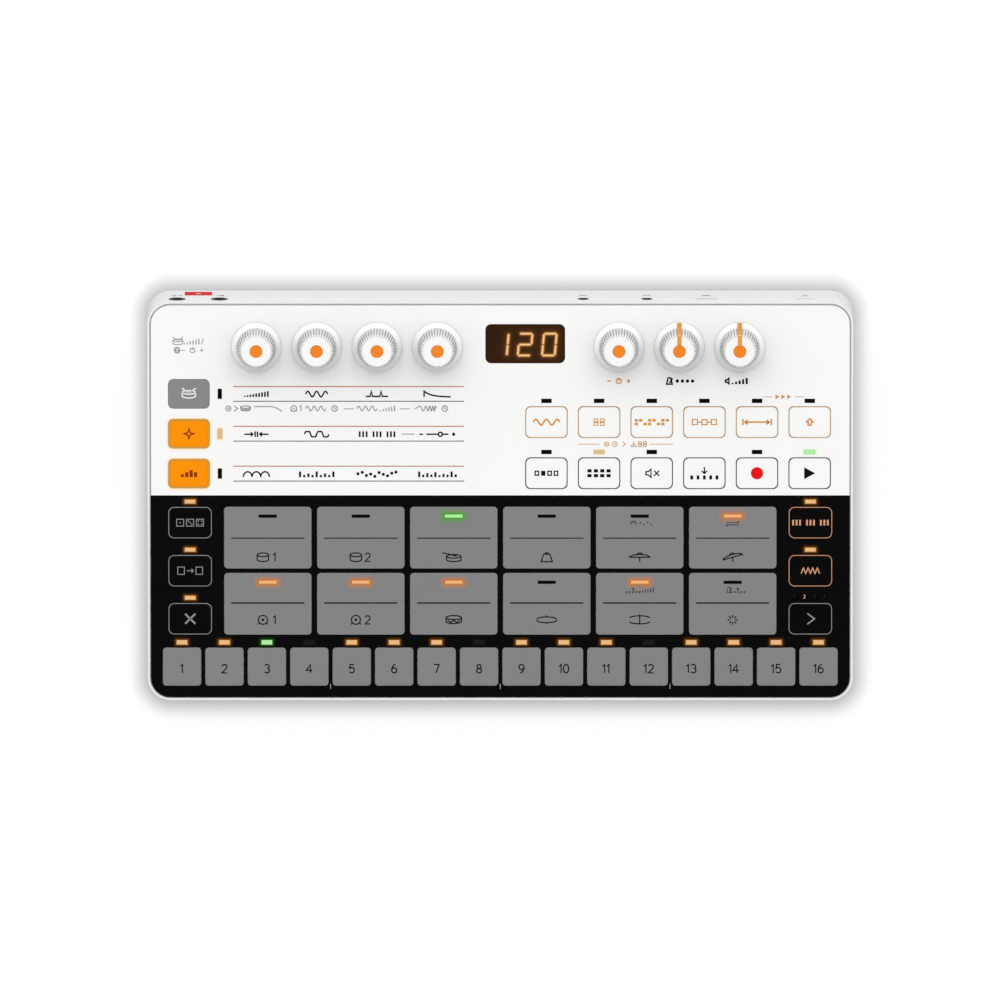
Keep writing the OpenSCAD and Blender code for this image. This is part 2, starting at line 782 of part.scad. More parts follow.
module pad_overlay() {
  color([0.05, 0.05, 0.05])
    on_top()
      difference() {
        plate(0, film_l / 2, film_w, film_l, film_r, 0, film_t);
        box(0, dark_l - eps + film_l / 2, film_w + 2, film_l, -1, film_t + 1);
        for (k = dark_keys)
          plate(k[0], k[1], k[2], k[3], key_r, -1, film_t + 1);
        for (r = [0:pad_rows - 1])
          for (i = [0:pad_cols - 1])
            plate(
              pad_x(i), pad_v(r), pad_w + 2 * tile_gap, pad_l + 2 * tile_gap,
              pad_r + tile_gap, -1, film_t + 1
            );
        for (i = [0:step_n - 1])
          plate(
            step_x(i), step_v, step_w + 2 * tile_gap, step_l + 2 * tile_gap,
            step_r + tile_gap, -1, film_t + 1
          );
        for (p = dark_leds)
          box(p[0], p[1], p[2] + 2 * tile_gap, p[3] + 2 * tile_gap, -1, film_t + 1);
      }
}

module touch_pads() {
  color([0.50, 0.50, 0.50])
    on_top()
      for (r = [0:pad_rows - 1])
        for (i = [0:pad_cols - 1])
          difference() {
            plate(pad_x(i), pad_v(r), pad_w, pad_l, pad_r, 0, film_t);
            box(
              pad_x(i), pad_v(r) + pad_l / 2 - pad_led_in, pad_led_w + 2 * tile_gap,
              pad_led_l + 2 * tile_gap, -1, film_t + 1
            );
          }
}

module step_pads() {
  color([0.50, 0.50, 0.50])
    on_top()
      for (i = [0:step_n - 1])
        plate(step_x(i), step_v, step_w, step_l, step_r, 0, film_t);
}

module led_lenses() {
  color([0.95, 0.62, 0.20])
    on_top()
      for (p = all_leds)
        box(p[0], p[1], p[2], p[3], 0, lens_bot);
}

module display_window() {
  color([0.10, 0.06, 0.03])
    on_top() {
      plate(display_x, display_v, display_w, display_l, display_r, 0, film_t + eps);
      plate(
        display_x, display_v, display_w + 2 * flange_w, display_l + 2 * flange_w,
        display_r + flange_w - tile_gap, film_t, film_t + flange_t
      );
    }
}

module display_module() {
  color([0.12, 0.12, 0.13])
    on_top()
      box(display_x, display_v, module_w, module_l, film_t + flange_t + tile_gap, main_top);
}

// ---- boards and what sits on them ----

module panel_board() {
  color([0.10, 0.42, 0.24])
    on_top()
      difference() {
        union() {
          box(0, (board_edge + panel_v1) / 2, 2 * panel_hw, panel_v1 - board_edge, panel_top, panel_bot);
          for (p = all_leds)
            box(p[0], p[1], min(p[2], 3), min(p[3], 3), lens_bot + led_room, panel_top + eps);
          box(-pad_pitch, pad_mid_v + chip_up, chip_w, chip_w, panel_bot - eps, panel_bot + chip_h);
          box(
            pad_pitch / 2, pad_mid_v + chip_up, small_chip_w, small_chip_w,
            panel_bot - eps, panel_bot + chip_h
          );
        }
        for (p = panel_screws)
          rod(p[0], p[1], screw_d / 2 + clear_gap, panel_top - 1, panel_bot + 1);
      }
}

module main_board() {
  color([0.10, 0.42, 0.24])
    on_top()
      difference() {
        plate(
          0, (main_v0 + rear_in_v - main_rear_gap) / 2, 2 * (inner_w - main_side_gap),
          rear_in_v - main_rear_gap - main_v0, case_r - wall, main_top, main_bot
        );
        for (p = main_screws)
          rod(p[0], p[1], screw_d / 2 + clear_gap, main_top - 1, main_bot + 1);
      }
}

module key_switches() {
  color([0.75, 0.75, 0.78])
    on_top()
      for (k = all_keys)
        difference() {
          box(k[0], k[1], switch_w, switch_w, panel_top - switch_h, panel_top);
          rod(k[0], k[1], plunger_d / 2 + plunger_gap + 0.05, 0, well_d);
        }
}

module rotary_body(x, w) {
  on_top()
    difference() {
      union() {
        box(x, knob_v, w, w, main_top - pot_h, main_top);
        rod(x, knob_v, bushing_d / 2, 0.1, main_top - pot_h + eps);
      }
      rod(x, knob_v, shaft_d / 2 + shaft_gap, 0, main_top - 1);
    }
}

module potentiometers() {
  color([0.35, 0.36, 0.38])
    for (i = [0, 1, 2, 3, 5, 6])
      rotary_body(knob_xs[i], pot_w);
}

module data_encoder() {
  color([0.30, 0.34, 0.40])
    rotary_body(knob_xs[4], encoder_w);
}

module jack(x, w, h, l, bore_d, d) {
  on_top()
    difference() {
      box(x, mouth_v - l / 2, w, l, d - h / 2, d + h / 2);
      rod_v(x, mouth_v - l + jack_end, mouth_v + 1, bore_d / 2, d);
    }
}

module audio_jacks() {
  color([0.08, 0.08, 0.08])
    for (x = [jack_x1, jack_x2])
      jack(x, jack_w, jack_h, jack_l, jack_bore_d, jack_d);
}

module data_jacks() {
  color([0.08, 0.08, 0.08])
    for (x = [data_x1, data_x2])
      jack(x, data_jack_w, data_jack_h, data_jack_l, data_bore_d, data_jack_d);
}

module usb_socket() {
  color([0.70, 0.71, 0.73])
    on_top()
      difference() {
        box(usb_x, mouth_v + 1 - usb_l / 2, usb_w, usb_l, main_top - usb_h, main_top);
        difference() {
          box(
            usb_x, mouth_v + 1 - usb_l / 2 + usb_shell, usb_w - 2 * usb_shell, usb_l,
            main_top - usb_h + usb_shell, main_top - usb_shell
          );
          box(usb_x, mouth_v - usb_l / 2 - 1, usb_w / 2, usb_l + 2, usb_d - 0.3, usb_d + 0.3);
        }
      }
}

module power_switch() {
  color([0.10, 0.10, 0.10])
    on_top()
      difference() {
        box(power_x, mouth_v - power_l / 2, power_w, power_l, main_top - power_h, main_top);
        box(
          power_x, mouth_v, slider_w + 2 * slider_travel + 2 * slider_gap, power_l,
          power_d - slider_h / 2 - slider_gap, power_d + slider_h / 2 + slider_gap
        );
      }
}

module power_slider() {
  color([0.12, 0.12, 0.12])
    on_top()
      translate([0, film_l + bezel - slider_in, 0])
        box(
          power_x, -(wall - slider_in + mouth_gap + power_l / 2 - slider_gap) / 2, slider_w,
          wall - slider_in + mouth_gap + power_l / 2 - slider_gap,
          power_d - slider_h / 2, power_d + slider_h / 2
        );
}

module ribbon_cable() {
  color([0.80, 0.80, 0.78])
    on_top() {
      box(0, panel_v1 - plug_in, ribbon_w + 2 * plug_side, plug_l, panel_bot, panel_bot + plug_h);
      box(0, main_v0 + plug_in, ribbon_w + 2 * plug_side, plug_l, main_bot, main_bot + plug_h);
      translate([-ribbon_w / 2, 0, 0])
        rotate([90, 0, 90])
          linear_extrude(ribbon_w)
            polygon([
              [panel_v1 - plug_in + plug_l / 2 - eps, -panel_bot - plug_h / 2],
              [panel_v1 - board_gap / 2, -panel_bot - plug_h / 2],
              [main_v0 - board_gap / 2, -main_bot - plug_h / 2],
              [main_v0 + plug_in - plug_l / 2 + eps, -main_bot - plug_h / 2],
              [main_v0 + plug_in - plug_l / 2 + eps, -main_bot - plug_h / 2 - ribbon_t],
              [main_v0 - board_gap / 2 - ribbon_t, -main_bot - plug_h / 2 - ribbon_t],
              [panel_v1 - board_gap / 2 - ribbon_t, -panel_bot - plug_h / 2 - ribbon_t],
              [panel_v1 - plug_in + plug_l / 2 - eps, -panel_bot - plug_h / 2 - ribbon_t]
            ]);
    }
}

// ---- battery bay, feet and screws ----

module cell() {
  rotate([0, 90, 0]) {
    translate([0, 0, -cell_l / 2])
      cylinder(h = cell_l - 1.2, r = cell_d / 2);
    translate([0, 0, cell_l / 2 - 1.2 - eps])
      cylinder(h = 1.2 + eps - 0.05, r = 2.75);
  }
}

module aa_cells() {
  color([0.20, 0.20, 0.22])
    for (sx = [-1, 1])
      for (k = [0, 1])
        translate([sx * cell_l / 2, cell_ys[k], cell_z])
          rotate([0, 0, k * 180])
            cell();
}

// A contact plate with a coil seen as three stacked rings, or with a round bump
module contact(coil) {
  translate([contact_t / 2 + 0.05, 0, 0])
    cube([contact_t, cell_d * 0.75, cell_d * 0.8], center = true);
  if (coil)
    for (k = [0:2])
      translate([contact_t + 0.45 + k * 0.75, 0, 0])
        rotate([0, 90, 0])
          rotate_extrude()
            translate([4 - k * 0.8, 0])
              circle(0.45);
  if (!coil)
    translate([contact_t, 0, 0])
      rotate([0, 90, 0])
        cylinder(h = contact_room - contact_t - 0.1, r1 = 4, r2 = 2.5);
}

module battery_contacts() {
  color([0.78, 0.79, 0.80])
    for (e = [0, 1])
      for (k = [0, 1])
        rotate([0, 0, e * 180])
          translate([-bay_w / 2, (e == 0 ? 1 : -1) * cell_ys[k], cell_z])
            contact(e == k);
}

module battery_door() {
  color([0.90, 0.90, 0.89]) {
    difference() {
      union() {
        translate([-bay_w / 2 + door_gap, hinge_y, foot_h])
          cube([bay_w - 2 * door_gap, bay_y1 - door_gap - hinge_y, door_t]);
        translate([0, hinge_y, hinge_z])
          rotate([0, 90, 0])
            cylinder(h = bay_w - 2 * door_gap, r = hinge_r, center = true);
      }
      translate([0, bay_y1 - thumb_in, foot_h - thumb_depth])
        cylinder(h = 2 * thumb_depth, r = thumb_d / 2);
    }
    translate([-tongue_w / 2, bay_y1 - door_gap - tongue_t, foot_h + door_t - eps])
      cube([tongue_w, tongue_t, tongue_h]);
    translate([0, hinge_y, hinge_z])
      rotate([0, 90, 0])
        cylinder(h = bay_w - 2 * door_gap + 2 * (pin_l + door_gap), r = pin_d / 2, center = true);
  }
}

module rubber_feet() {
  color([0.10, 0.10, 0.10])
    for (sx = [-1, 1])
      for (y = [front_y + foot_end, flat_y - foot_end])
        translate([sx * (case_w / 2 - foot_side), y, 0]) {
          cylinder(h = 0.5, r1 = foot_d / 2 - 0.5, r2 = foot_d / 2);
          translate([0, 0, 0.5])
            cylinder(h = foot_h + foot_seat - 0.5, r = foot_d / 2);
        }
}

module screw() {
  difference() {
    union() {
      translate([0, 0, -head_h])
        cylinder(h = head_h, r = head_d / 2);
      cylinder(h = screw_l, r = screw_d / 2);
    }
    for (a = [0, 90])
      rotate([0, 0, a])
        translate([0, 0, -head_h])
          cube([head_d * 0.6, 0.6, 1.4], center = true);
  }
}

module screws() {
  color([0.55, 0.56, 0.58]) {
    on_top() {
      for (p = panel_screws)
        translate([p[0], p[1], -panel_bot])
          screw();
      for (p = main_screws)
        translate([p[0], p[1], -main_bot])
          screw();
    }
    for (sx = [-1, 1])
      for (v = post_vs)
        at_seam(sx * post_x, v)
          translate([0, 0, -0.1 - seat_t])
            screw();
  }
}

// ---- knobs and shafts ----

module knob_envelope(grow) {
  core_top = grip_top_d / 2 - rib_depth + grow;
  base = knob_lift + skirt_h + skirt_slope_h;
  rotate_extrude()
    polygon([
      [0, base - 0.3],
      [grip_d / 2 - rib_depth + grow, base - 0.3],
      [core_top, knob_h - top_bevel],
      [core_top - top_bevel, knob_h],
      [0, knob_h]
    ]);
}

module knob(i, pointer) {
  base = knob_lift + skirt_h + skirt_slope_h;
  on_top()
    translate([knob_xs[i], knob_v, 0])
      difference() {
        union() {
          rotate_extrude()
            polygon([
              [0, knob_lift],
              [knob_d / 2, knob_lift],
              [knob_d / 2, knob_lift + skirt_h],
              [grip_d / 2 + 0.2, base],
              [0, base]
            ]);
          knob_envelope(0);
          intersection() {
            knob_envelope(rib_depth);
            union()
              for (a = [0:rib_n / 2 - 1])
                rotate([0, 0, (a + 0.5) * 360 / rib_n])
                  translate([0, 0, knob_h / 2])
                    cube([grip_d + 2, rib_w, knob_h], center = true);
          }
          if (pointer)
            intersection() {
              union() {
                knob_envelope(rib_depth + 0.1);
                translate([0, 0, knob_lift])
                  cylinder(h = base - knob_lift + 0.1, r = knob_d / 2);
              }
              translate([-pointer_w / 2, 0, knob_lift])
                cube([pointer_w, knob_d, knob_h]);
            }
        }
        translate([0, 0, knob_h - dot_depth])
          cylinder(h = 1, r = dot_d / 2);
        difference() {
          translate([0, 0, -1])
            cylinder(h = knob_h - knob_cap_t + 1, r = shaft_d / 2 + knob_bore_gap);
          translate([-shaft_d, shaft_d / 2 - shaft_flat + knob_bore_gap, knob_lift + 1])
            cube([2 * shaft_d, shaft_d, knob_h]);
        }
      }
}

module shaft(i) {
  color([0.75, 0.76, 0.78])
    on_top()
      translate([knob_xs[i], knob_v, 0])
        difference() {
          translate([0, 0, 1.2 - main_top])
            cylinder(h = knob_h - knob_cap_t - 0.1 + main_top - 1.2, r = shaft_d / 2);
          translate([-shaft_d, shaft_d / 2 - shaft_flat, knob_lift + 0.9])
            cube([2 * shaft_d, shaft_d, knob_h]);
        }
}

// ---- keys ----

module key(k) {
  on_top() {
    plate(k[0], k[1], k[2] - 2 * key_gap, k[3] - 2 * key_gap, key_r - key_gap, 0, film_t);
    rod(k[0], k[1], plunger_d / 2, film_t - eps, plunger_bot);
  }
}

module grey_key(k) {
  color([0.50, 0.50, 0.50])
    key(k);
}

module orange_key(k) {
  color([0.98, 0.56, 0.08])
    key(k);
}

module white_key(k) {
  color([0.97, 0.97, 0.96])
    key(k);
}

module black_key(k) {
  color([0.06, 0.06, 0.06])
    key(k);
}

module param_knob_1() { color([0.95, 0.95, 0.94]) knob(0, false); }
module param_knob_2() { color([0.95, 0.95, 0.94]) knob(1, false); }
module param_knob_3() { color([0.95, 0.95, 0.94]) knob(2, false); }
module param_knob_4() { color([0.95, 0.95, 0.94]) knob(3, false); }
module data_knob() { color([0.95, 0.95, 0.94]) knob(4, false); }
module tempo_knob() { color([0.95, 0.95, 0.94]) knob(5, true); }
module volume_knob() { color([0.95, 0.95, 0.94]) knob(6, true); }
module param_shaft_1() { shaft(0); }
module param_shaft_2() { shaft(1); }
module param_shaft_3() { shaft(2); }
module param_shaft_4() { shaft(3); }
module data_shaft() { shaft(4); }
module tempo_shaft() { shaft(5); }
module volume_shaft() { shaft(6); }
module drum_key() { grey_key(mode_keys[2]); }
module effect_key() { orange_key(mode_keys[1]); }
module sequence_key() { orange_key(mode_keys[0]); }
module sound_key() { white_key(rear_keys[0]); }
module kit_key() { white_key(rear_keys[1]); }
module pattern_key() { white_key(rear_keys[2]); }
module song_key() { white_key(rear_keys[3]); }
module length_key() { white_key(rear_keys[4]); }
module alt_key() { white_key(rear_keys[5]); }
module select_key() { white_key(front_keys[0]); }
module select_all_key() { white_key(front_keys[1]); }
module mute_key() { white_key(front_keys[2]); }
module tap_key() { white_key(front_keys[3]); }
module record_key() { white_key(front_keys[4]); }
module play_key() { white_key(front_keys[5]); }
module random_key() { black_key(left_keys[2]); }
module copy_key() { black_key(left_keys[1]); }
module clear_key() { black_key(left_keys[0]); }
module stutter_key() { black_key(right_keys[2]); }
module roll_key() { black_key(right_keys[1]); }
module bank_key() { black_key(right_keys[0]); }

upper_case();
lower_case();
control_overlay();
pad_overlay();
touch_pads();
step_pads();
display_window();
display_module();
led_lenses();
panel_board();
main_board();
key_switches();
potentiometers();
data_encoder();
audio_jacks();
data_jacks();
usb_socket();
power_switch();
power_slider();
battery_contacts();
aa_cells();
battery_door();
rubber_feet();
screws();
ribbon_cable();
param_knob_1();
param_knob_2();
param_knob_3();
param_knob_4();
data_knob();
tempo_knob();
volume_knob();
param_shaft_1();
param_shaft_2();
param_shaft_3();
param_shaft_4();
data_shaft();
tempo_shaft();
volume_shaft();
drum_key();
effect_key();
sequence_key();
sound_key();
kit_key();
pattern_key();
song_key();
length_key();
alt_key();
select_key();
select_all_key();
mute_key();
tap_key();
record_key();
play_key();
random_key();
copy_key();
clear_key();
stutter_key();
roll_key();
bank_key();
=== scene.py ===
import math

import bmesh
import bpy
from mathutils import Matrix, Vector


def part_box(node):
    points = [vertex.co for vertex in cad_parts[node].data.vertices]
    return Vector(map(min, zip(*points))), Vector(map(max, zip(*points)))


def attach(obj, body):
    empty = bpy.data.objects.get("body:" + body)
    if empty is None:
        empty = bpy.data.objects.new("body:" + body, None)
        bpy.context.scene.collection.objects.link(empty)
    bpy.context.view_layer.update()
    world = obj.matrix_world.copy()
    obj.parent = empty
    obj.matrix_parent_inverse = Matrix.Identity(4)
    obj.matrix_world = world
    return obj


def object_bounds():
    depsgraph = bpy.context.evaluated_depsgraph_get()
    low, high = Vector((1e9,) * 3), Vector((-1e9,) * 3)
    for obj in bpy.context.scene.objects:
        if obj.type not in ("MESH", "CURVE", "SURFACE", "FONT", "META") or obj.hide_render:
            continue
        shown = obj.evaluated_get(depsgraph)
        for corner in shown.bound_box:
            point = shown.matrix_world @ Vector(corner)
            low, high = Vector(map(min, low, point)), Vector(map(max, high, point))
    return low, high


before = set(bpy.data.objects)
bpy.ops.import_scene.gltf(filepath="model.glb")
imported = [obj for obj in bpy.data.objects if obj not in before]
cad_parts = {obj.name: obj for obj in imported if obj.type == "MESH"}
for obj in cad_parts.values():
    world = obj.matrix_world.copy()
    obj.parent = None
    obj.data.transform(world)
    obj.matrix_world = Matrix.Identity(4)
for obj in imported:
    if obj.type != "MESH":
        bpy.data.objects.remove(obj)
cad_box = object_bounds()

scene = bpy.context.scene

# ---- the sloped top ----
# Sizes are in mm. "x" runs across, "v" up the slope from the film's front edge, "w" out of the film.

MM = 0.001
TILT = math.radians(9.5)
SIN, COS = math.sin(TILT), math.cos(TILT)
TILE_T = 0.5          # thickness of the films and of every tile
FILM_L = 144.4        # length of the film up the slope
REAR_OUT = 1.1        # the rear face, behind the film's rear edge

film_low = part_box("pad_overlay")[0]
FILM_Y = film_low.y / MM
FILM_Z = film_low.z / MM + TILE_T * COS


def on_top(x, v, w):
    """A place on the sloped top."""
    return Vector((x, FILM_Y + v * COS - w * SIN, FILM_Z + v * SIN + w * COS)) * MM


def on_rear(x, d, w):
    """A place on the rear face: d is the depth below the film, w the height off the face."""
    return on_top(x, FILM_L + REAR_OUT + w, -d)


def under(x, y, w):
    """A place on the flat underside, seen from below."""
    return Vector((x, y, UNDER_Z - w)) * MM


def slope_place(point):
    """(x, v, w) of a point in the part's own axes."""
    y, z = point.y / MM - FILM_Y, point.z / MM - FILM_Z
    return point.x / MM, y * COS + z * SIN, z * COS - y * SIN


def spot(node):
    """(x, v) of the middle of a key's tile."""
    low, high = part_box(node)
    near = (low.y / MM - FILM_Y) / COS
    far = (high.y / MM - FILM_Y - TILE_T * SIN) / COS
    return (low.x + high.x) / 2 / MM, (near + far) / 2


UNDER_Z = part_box("lower_case")[0].z / MM

# ---- nodes and finishes ----


def linear(code):
    """An sRGB hex colour as linear values."""
    parts = (int(code[i:i + 2], 16) / 255 for i in (0, 2, 4))
    return (*(p / 12.92 if p <= 0.04045 else ((p + 0.055) / 1.055) ** 2.4 for p in parts), 1.0)


def add(tree, kind, sockets=None, **settings):
    """Adds a node. A socket is given a value, or another node's output to be linked to."""
    node = tree.nodes.new("ShaderNode" + kind)
    for name, value in settings.items():
        setattr(node, name, value)
    for name, value in (sockets or {}).items():
        if isinstance(value, bpy.types.NodeSocket):
            tree.links.new(value, node.inputs[name])
        else:
            node.inputs[name].default_value = value
    return node


def maths(tree, operation, *values):
    """The result of a sum on one or two values."""
    return add(tree, "Math", dict(enumerate(values)), operation=operation).outputs[0]


def mixed(tree, share, first, second):
    """A colour between two others."""
    return add(tree, "Mix", {0: share, 6: first, 7: second}, data_type="RGBA").outputs[2]


def new_tree(name):
    material = bpy.data.materials.new(name)
    material.use_nodes = True
    material.node_tree.nodes.clear()
    return material, material.node_tree


def surface(name, colour, shade, rough, grain, relief, cloud=18.0, edge=0.12, colour_from=None, **shader):
    """A finish whose colour drifts between two tones over a wide cloud, with a fine grain that
    stands up in relief and changes the gloss a little. Sizes are in mm."""
    material, tree = new_tree(name)
    place = add(tree, "TexCoord").outputs["Object"]
    wide = add(tree, "TexNoise", {"Vector": place, "Scale": 1 / (cloud * MM), "Detail": 2.0})
    fine = add(tree, "TexNoise", {"Vector": place, "Scale": 1 / (grain * MM), "Detail": 3.0})
    tone = mixed(tree, wide.outputs["Fac"], linear(colour), linear(shade))
    gloss = add(
        tree, "MapRange",
        {"Value": fine.outputs["Fac"], "To Min": rough - 0.06, "To Max": rough + 0.06},
    )
    rounded_edge = add(tree, "Bevel", {"Radius": edge * MM}, samples=4)
    bump = add(
        tree, "Bump",
        {
            "Strength": 1.0, "Distance": relief * MM, "Height": fine.outputs["Fac"],
            "Normal": rounded_edge.outputs["Normal"],
        },
    )
    base = tone if colour_from is None else colour_from(tree, place, tone)
    sockets = {"Base Color": base, "Roughness": gloss.outputs["Result"], "Normal": bump.outputs["Normal"]}
    sockets.update({key.replace("_", " "): value for key, value in shader.items()})
    principled = add(tree, "BsdfPrincipled", sockets)
    add(tree, "OutputMaterial", {"Surface": principled.outputs["BSDF"]})
    return material


def glow_light(material):
    """The material gives off the colour that its mesh carries in "glow"."""
    tree = material.node_tree
    principled = next(n for n in tree.nodes if n.type == "BSDF_PRINCIPLED")
    carried = add(tree, "Attribute", attribute_name="glow")
    tree.links.new(carried.outputs["Color"], principled.inputs["Emission Color"])
    principled.inputs["Emission Strength"].default_value = 1.0
    return material


def carried_colour(tree, place, tone):
    """The colour that the mesh carries in "glow"."""
    return add(tree, "Attribute", attribute_name="glow").outputs["Color"]


BAND_START = 0.74     # where the band begins, as a share of the cell's length


def cell_bands(tree, place, tone):
    """A copper-coloured band over the button end of each cell's sleeve."""
    low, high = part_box("aa_cells")
    axes = add(tree, "SeparateXYZ", {"Vector": place}).outputs
    along = maths(tree, "FRACT", maths(tree, "DIVIDE", axes["X"], high.x))
    rear = maths(tree, "GREATER_THAN", axes["Y"], (low.y + high.y) / 2)
    share = maths(tree, "ABSOLUTE", maths(tree, "SUBTRACT", rear, along))
    band = maths(tree, "GREATER_THAN", share, BAND_START)
    return mixed(tree, band, tone, linear("B8763C"))


def ribbon_wires(tree, place, tone):
    """Conductors every 1 mm across the ribbon."""
    across = add(tree, "SeparateXYZ", {"Vector": place}).outputs["X"]
    high = maths(tree, "SINE", maths(tree, "MULTIPLY", across, 2 * math.pi / MM))
    wire = add(tree, "MapRange", {"Value": high, "From Min": -1.0})
    return mixed(tree, wire.outputs["Result"], linear("A6A8A6"), tone)


def board_tracks(tree, place, tone):
    """Copper tracks under the green lacquer, 0.4 mm wide, drawn on a 2.5 mm grid."""
    grid = add(
        tree, "TexBrick",
        {
            "Vector": place, "Color1": linear("1E6B3C"), "Color2": linear("175732"),
            "Mortar": linear("3C8F55"), "Scale": 1.0, "Mortar Size": 0.4 * MM,
            "Brick Width": 6.0 * MM, "Row Height": 2.5 * MM,
        },
    )
    return grid.outputs["Color"]


# Acrylonitrile butadiene styrene, injection moulded in a spark-eroded tool: a matt white with a fine
# orange-peel grain. The real grain is 0.1 mm, drawn at 0.35 mm so that it shows.
white_shell = surface("moulded_abs_white", "EFEFEE", "EBEBEA", 0.5, 0.35, 0.012, edge=0.3)
lower_shell = surface("moulded_abs_pale_grey", "EAEAE9", "E6E6E5", 0.52, 0.35, 0.012, edge=0.3)

# The same plastic from a polished tool: the knobs shine a little more, and their ribs stay crisp. The
# grooves between the ribs take a darker cool grey, which is painted shade.
white_knob = surface("moulded_abs_knob", "F8F8F7", "F4F4F3", 0.36, 0.5, 0.004, edge=0.08)
knob_groove_painted_shade = surface("moulded_abs_groove", "DEDEDD", "D6D6D5", 0.6, 0.5, 0.006, edge=0.05)

# Polycarbonate film, printed from behind: a satin velvet face over an even colour, which hardly mirrors
# the room. The face's grain is 0.05 mm, drawn at 0.25 mm.
MATT = {"Specular_IOR_Level": 0.02}
WHITE_FILM = ("F9F9F8", "F6F6F5", 0.42, 0.25, 0.003)
BLACK_FILM = ("080808", "060606", 0.5, 0.25, 0.003)
GREY_FILM = ("858585", "828282", 0.5, 0.25, 0.003)
white_film = surface("printed_film_white", *WHITE_FILM)
black_film = surface("printed_film_black", *BLACK_FILM, **MATT)
grey_film = surface("printed_film_grey", *GREY_FILM, **MATT)
pale_grey_film = surface("printed_film_pale_grey", "8B8B8B", "888888", 0.5, 0.25, 0.003, **MATT)

# Translucent polycarbonate over a lamp: it glows evenly.
lit_key = surface(
    "backlit_film_orange", "F68F08", "F48B07", 0.45, 0.25, 0.003,
    Emission_Color=linear("F98F08"), Emission_Strength=0.08, **MATT,
)

# Pad-printed ink on the knobs: flat, silky, a touch uneven at its edge.
knob_mark = surface("pad_printed_orange", "F58A30", "F28426", 0.4, 0.3, 0.004, **MATT)
knob_pointer = surface("pad_printed_amber", "E8A152", "E39A4A", 0.4, 0.3, 0.004, **MATT)

# Tinted acrylic with a satin anti-glare face: nearly black brown, with a weak sheen.
display_tint = surface("tinted_acrylic_brown", "321F12", "2E1C10", 0.3, 0.6, 0.001, **MATT)

# Moulded light guides. Unlit they are smoked black, lit they are brighter than the film around them.
GUIDES = {
    "-": ("smoked", "000000"), "a": ("amber", "EABA82"), "s": ("soft_amber", "E9B984"),
    "g": ("green", "B3ECA5"), "o": ("orange", "F3B277"), "h": ("soft_green", "AFF399"),
    "p": ("peach", "DCBC94"), "q": ("straw", "DDBD8A"), "m": ("mint", "B1ECAA"),
    "u": ("faint", "191613"),
}
GUIDES = {
    state: surface(
        "light_guide_" + name, "050505", "040404", 0.4, 0.4, 0.002,
        Emission_Color=linear(light), Emission_Strength=1.0, **MATT,
    )
    for state, (name, light) in GUIDES.items()
}

# Turned nickel-plated brass for the shafts, with 0.3 mm tool marks; rolled spring steel for the
# contacts; zinc-plated steel screws; stamped stainless steel for the socket's shell.
shaft_metal = surface("turned_nickel", "C9C9CC", "BDBDC1", 0.28, 0.3, 0.003, Metallic=1.0)
contact_metal = surface("rolled_spring_steel", "CFCFCD", "C2C2C0", 0.3, 0.5, 0.003, Metallic=1.0)
screw_metal = surface("zinc_plated_steel", "A9ABAE", "9C9EA1", 0.34, 0.3, 0.004, Metallic=1.0)
socket_metal = surface("stamped_stainless_steel", "B9BABC", "ABACAE", 0.3, 0.4, 0.003, Metallic=1.0)

# Glass-fibre board under green lacquer, and moulded nylon, which is dull with a soft grain.
green_board = surface("lacquered_glass_fibre", "1E6B3C", "175732", 0.3, 0.5, 0.01, colour_from=board_tracks)
black_plastic = surface("moulded_nylon_black", "161616", "111111", 0.45, 0.3, 0.006)
control_body = surface("moulded_nylon_slate", "55585C", "4B4E52", 0.5, 0.4, 0.006)
dark_module = surface("moulded_nylon_smoke", "202022", "1A1A1C", 0.4, 0.4, 0.006)

# Shrunk vinyl sleeve on the cells, silicone rubber feet that are matt and slightly dusty, and
# polyester ribbon with its wires showing.
cell_jacket = surface("shrunk_vinyl_sleeve", "303238", "292B30", 0.3, 0.8, 0.004, colour_from=cell_bands)
foot_rubber = surface("silicone_rubber", "1D1D1E", "262627", 0.75, 0.25, 0.02)
ribbon_film = surface("polyester_ribbon", "D9D9D5", "D0D0CC", 0.4, 0.6, 0.004, colour_from=ribbon_wires)

# Screen-printed inks: an even, slightly raised, matt layer with a fine mottle.
INKS = {
    # The "edge" ink is painted shade, drawn along the film's edge
    "black": ("0E0E0E", "131313"), "slate": ("3E3E3F", "444446"), "edge": ("7E7E7E", "787878"),
    "silver": ("989898", "909090"), "pale": ("9C9C9C", "949494"), "white": ("F2F2F0", "EAEAE8"),
    "orange": ("DC963F", "D68E37"), "tan": ("CFA26A", "C89B62"), "line": ("C47E44", "BC763A"),
    "rust": ("8F360C", "84300A"), "peach": ("DDA27E", "D49874"), "red": ("E81C1C", "DF1717"),
    "ghost": ("2A2A2A", "262626"), "lit": ("ECBA80", "E6B278"), "honey": ("D1A355", "CB9D4F"),
    "amber": ("E7942C", "E18E26"), "crimson": ("D6202C", "CD1B27"),
}
INKS = {
    name: surface("screen_ink_" + name, *tones, 0.5, 0.4, 0.002, **MATT) for name, tones in INKS.items()
}

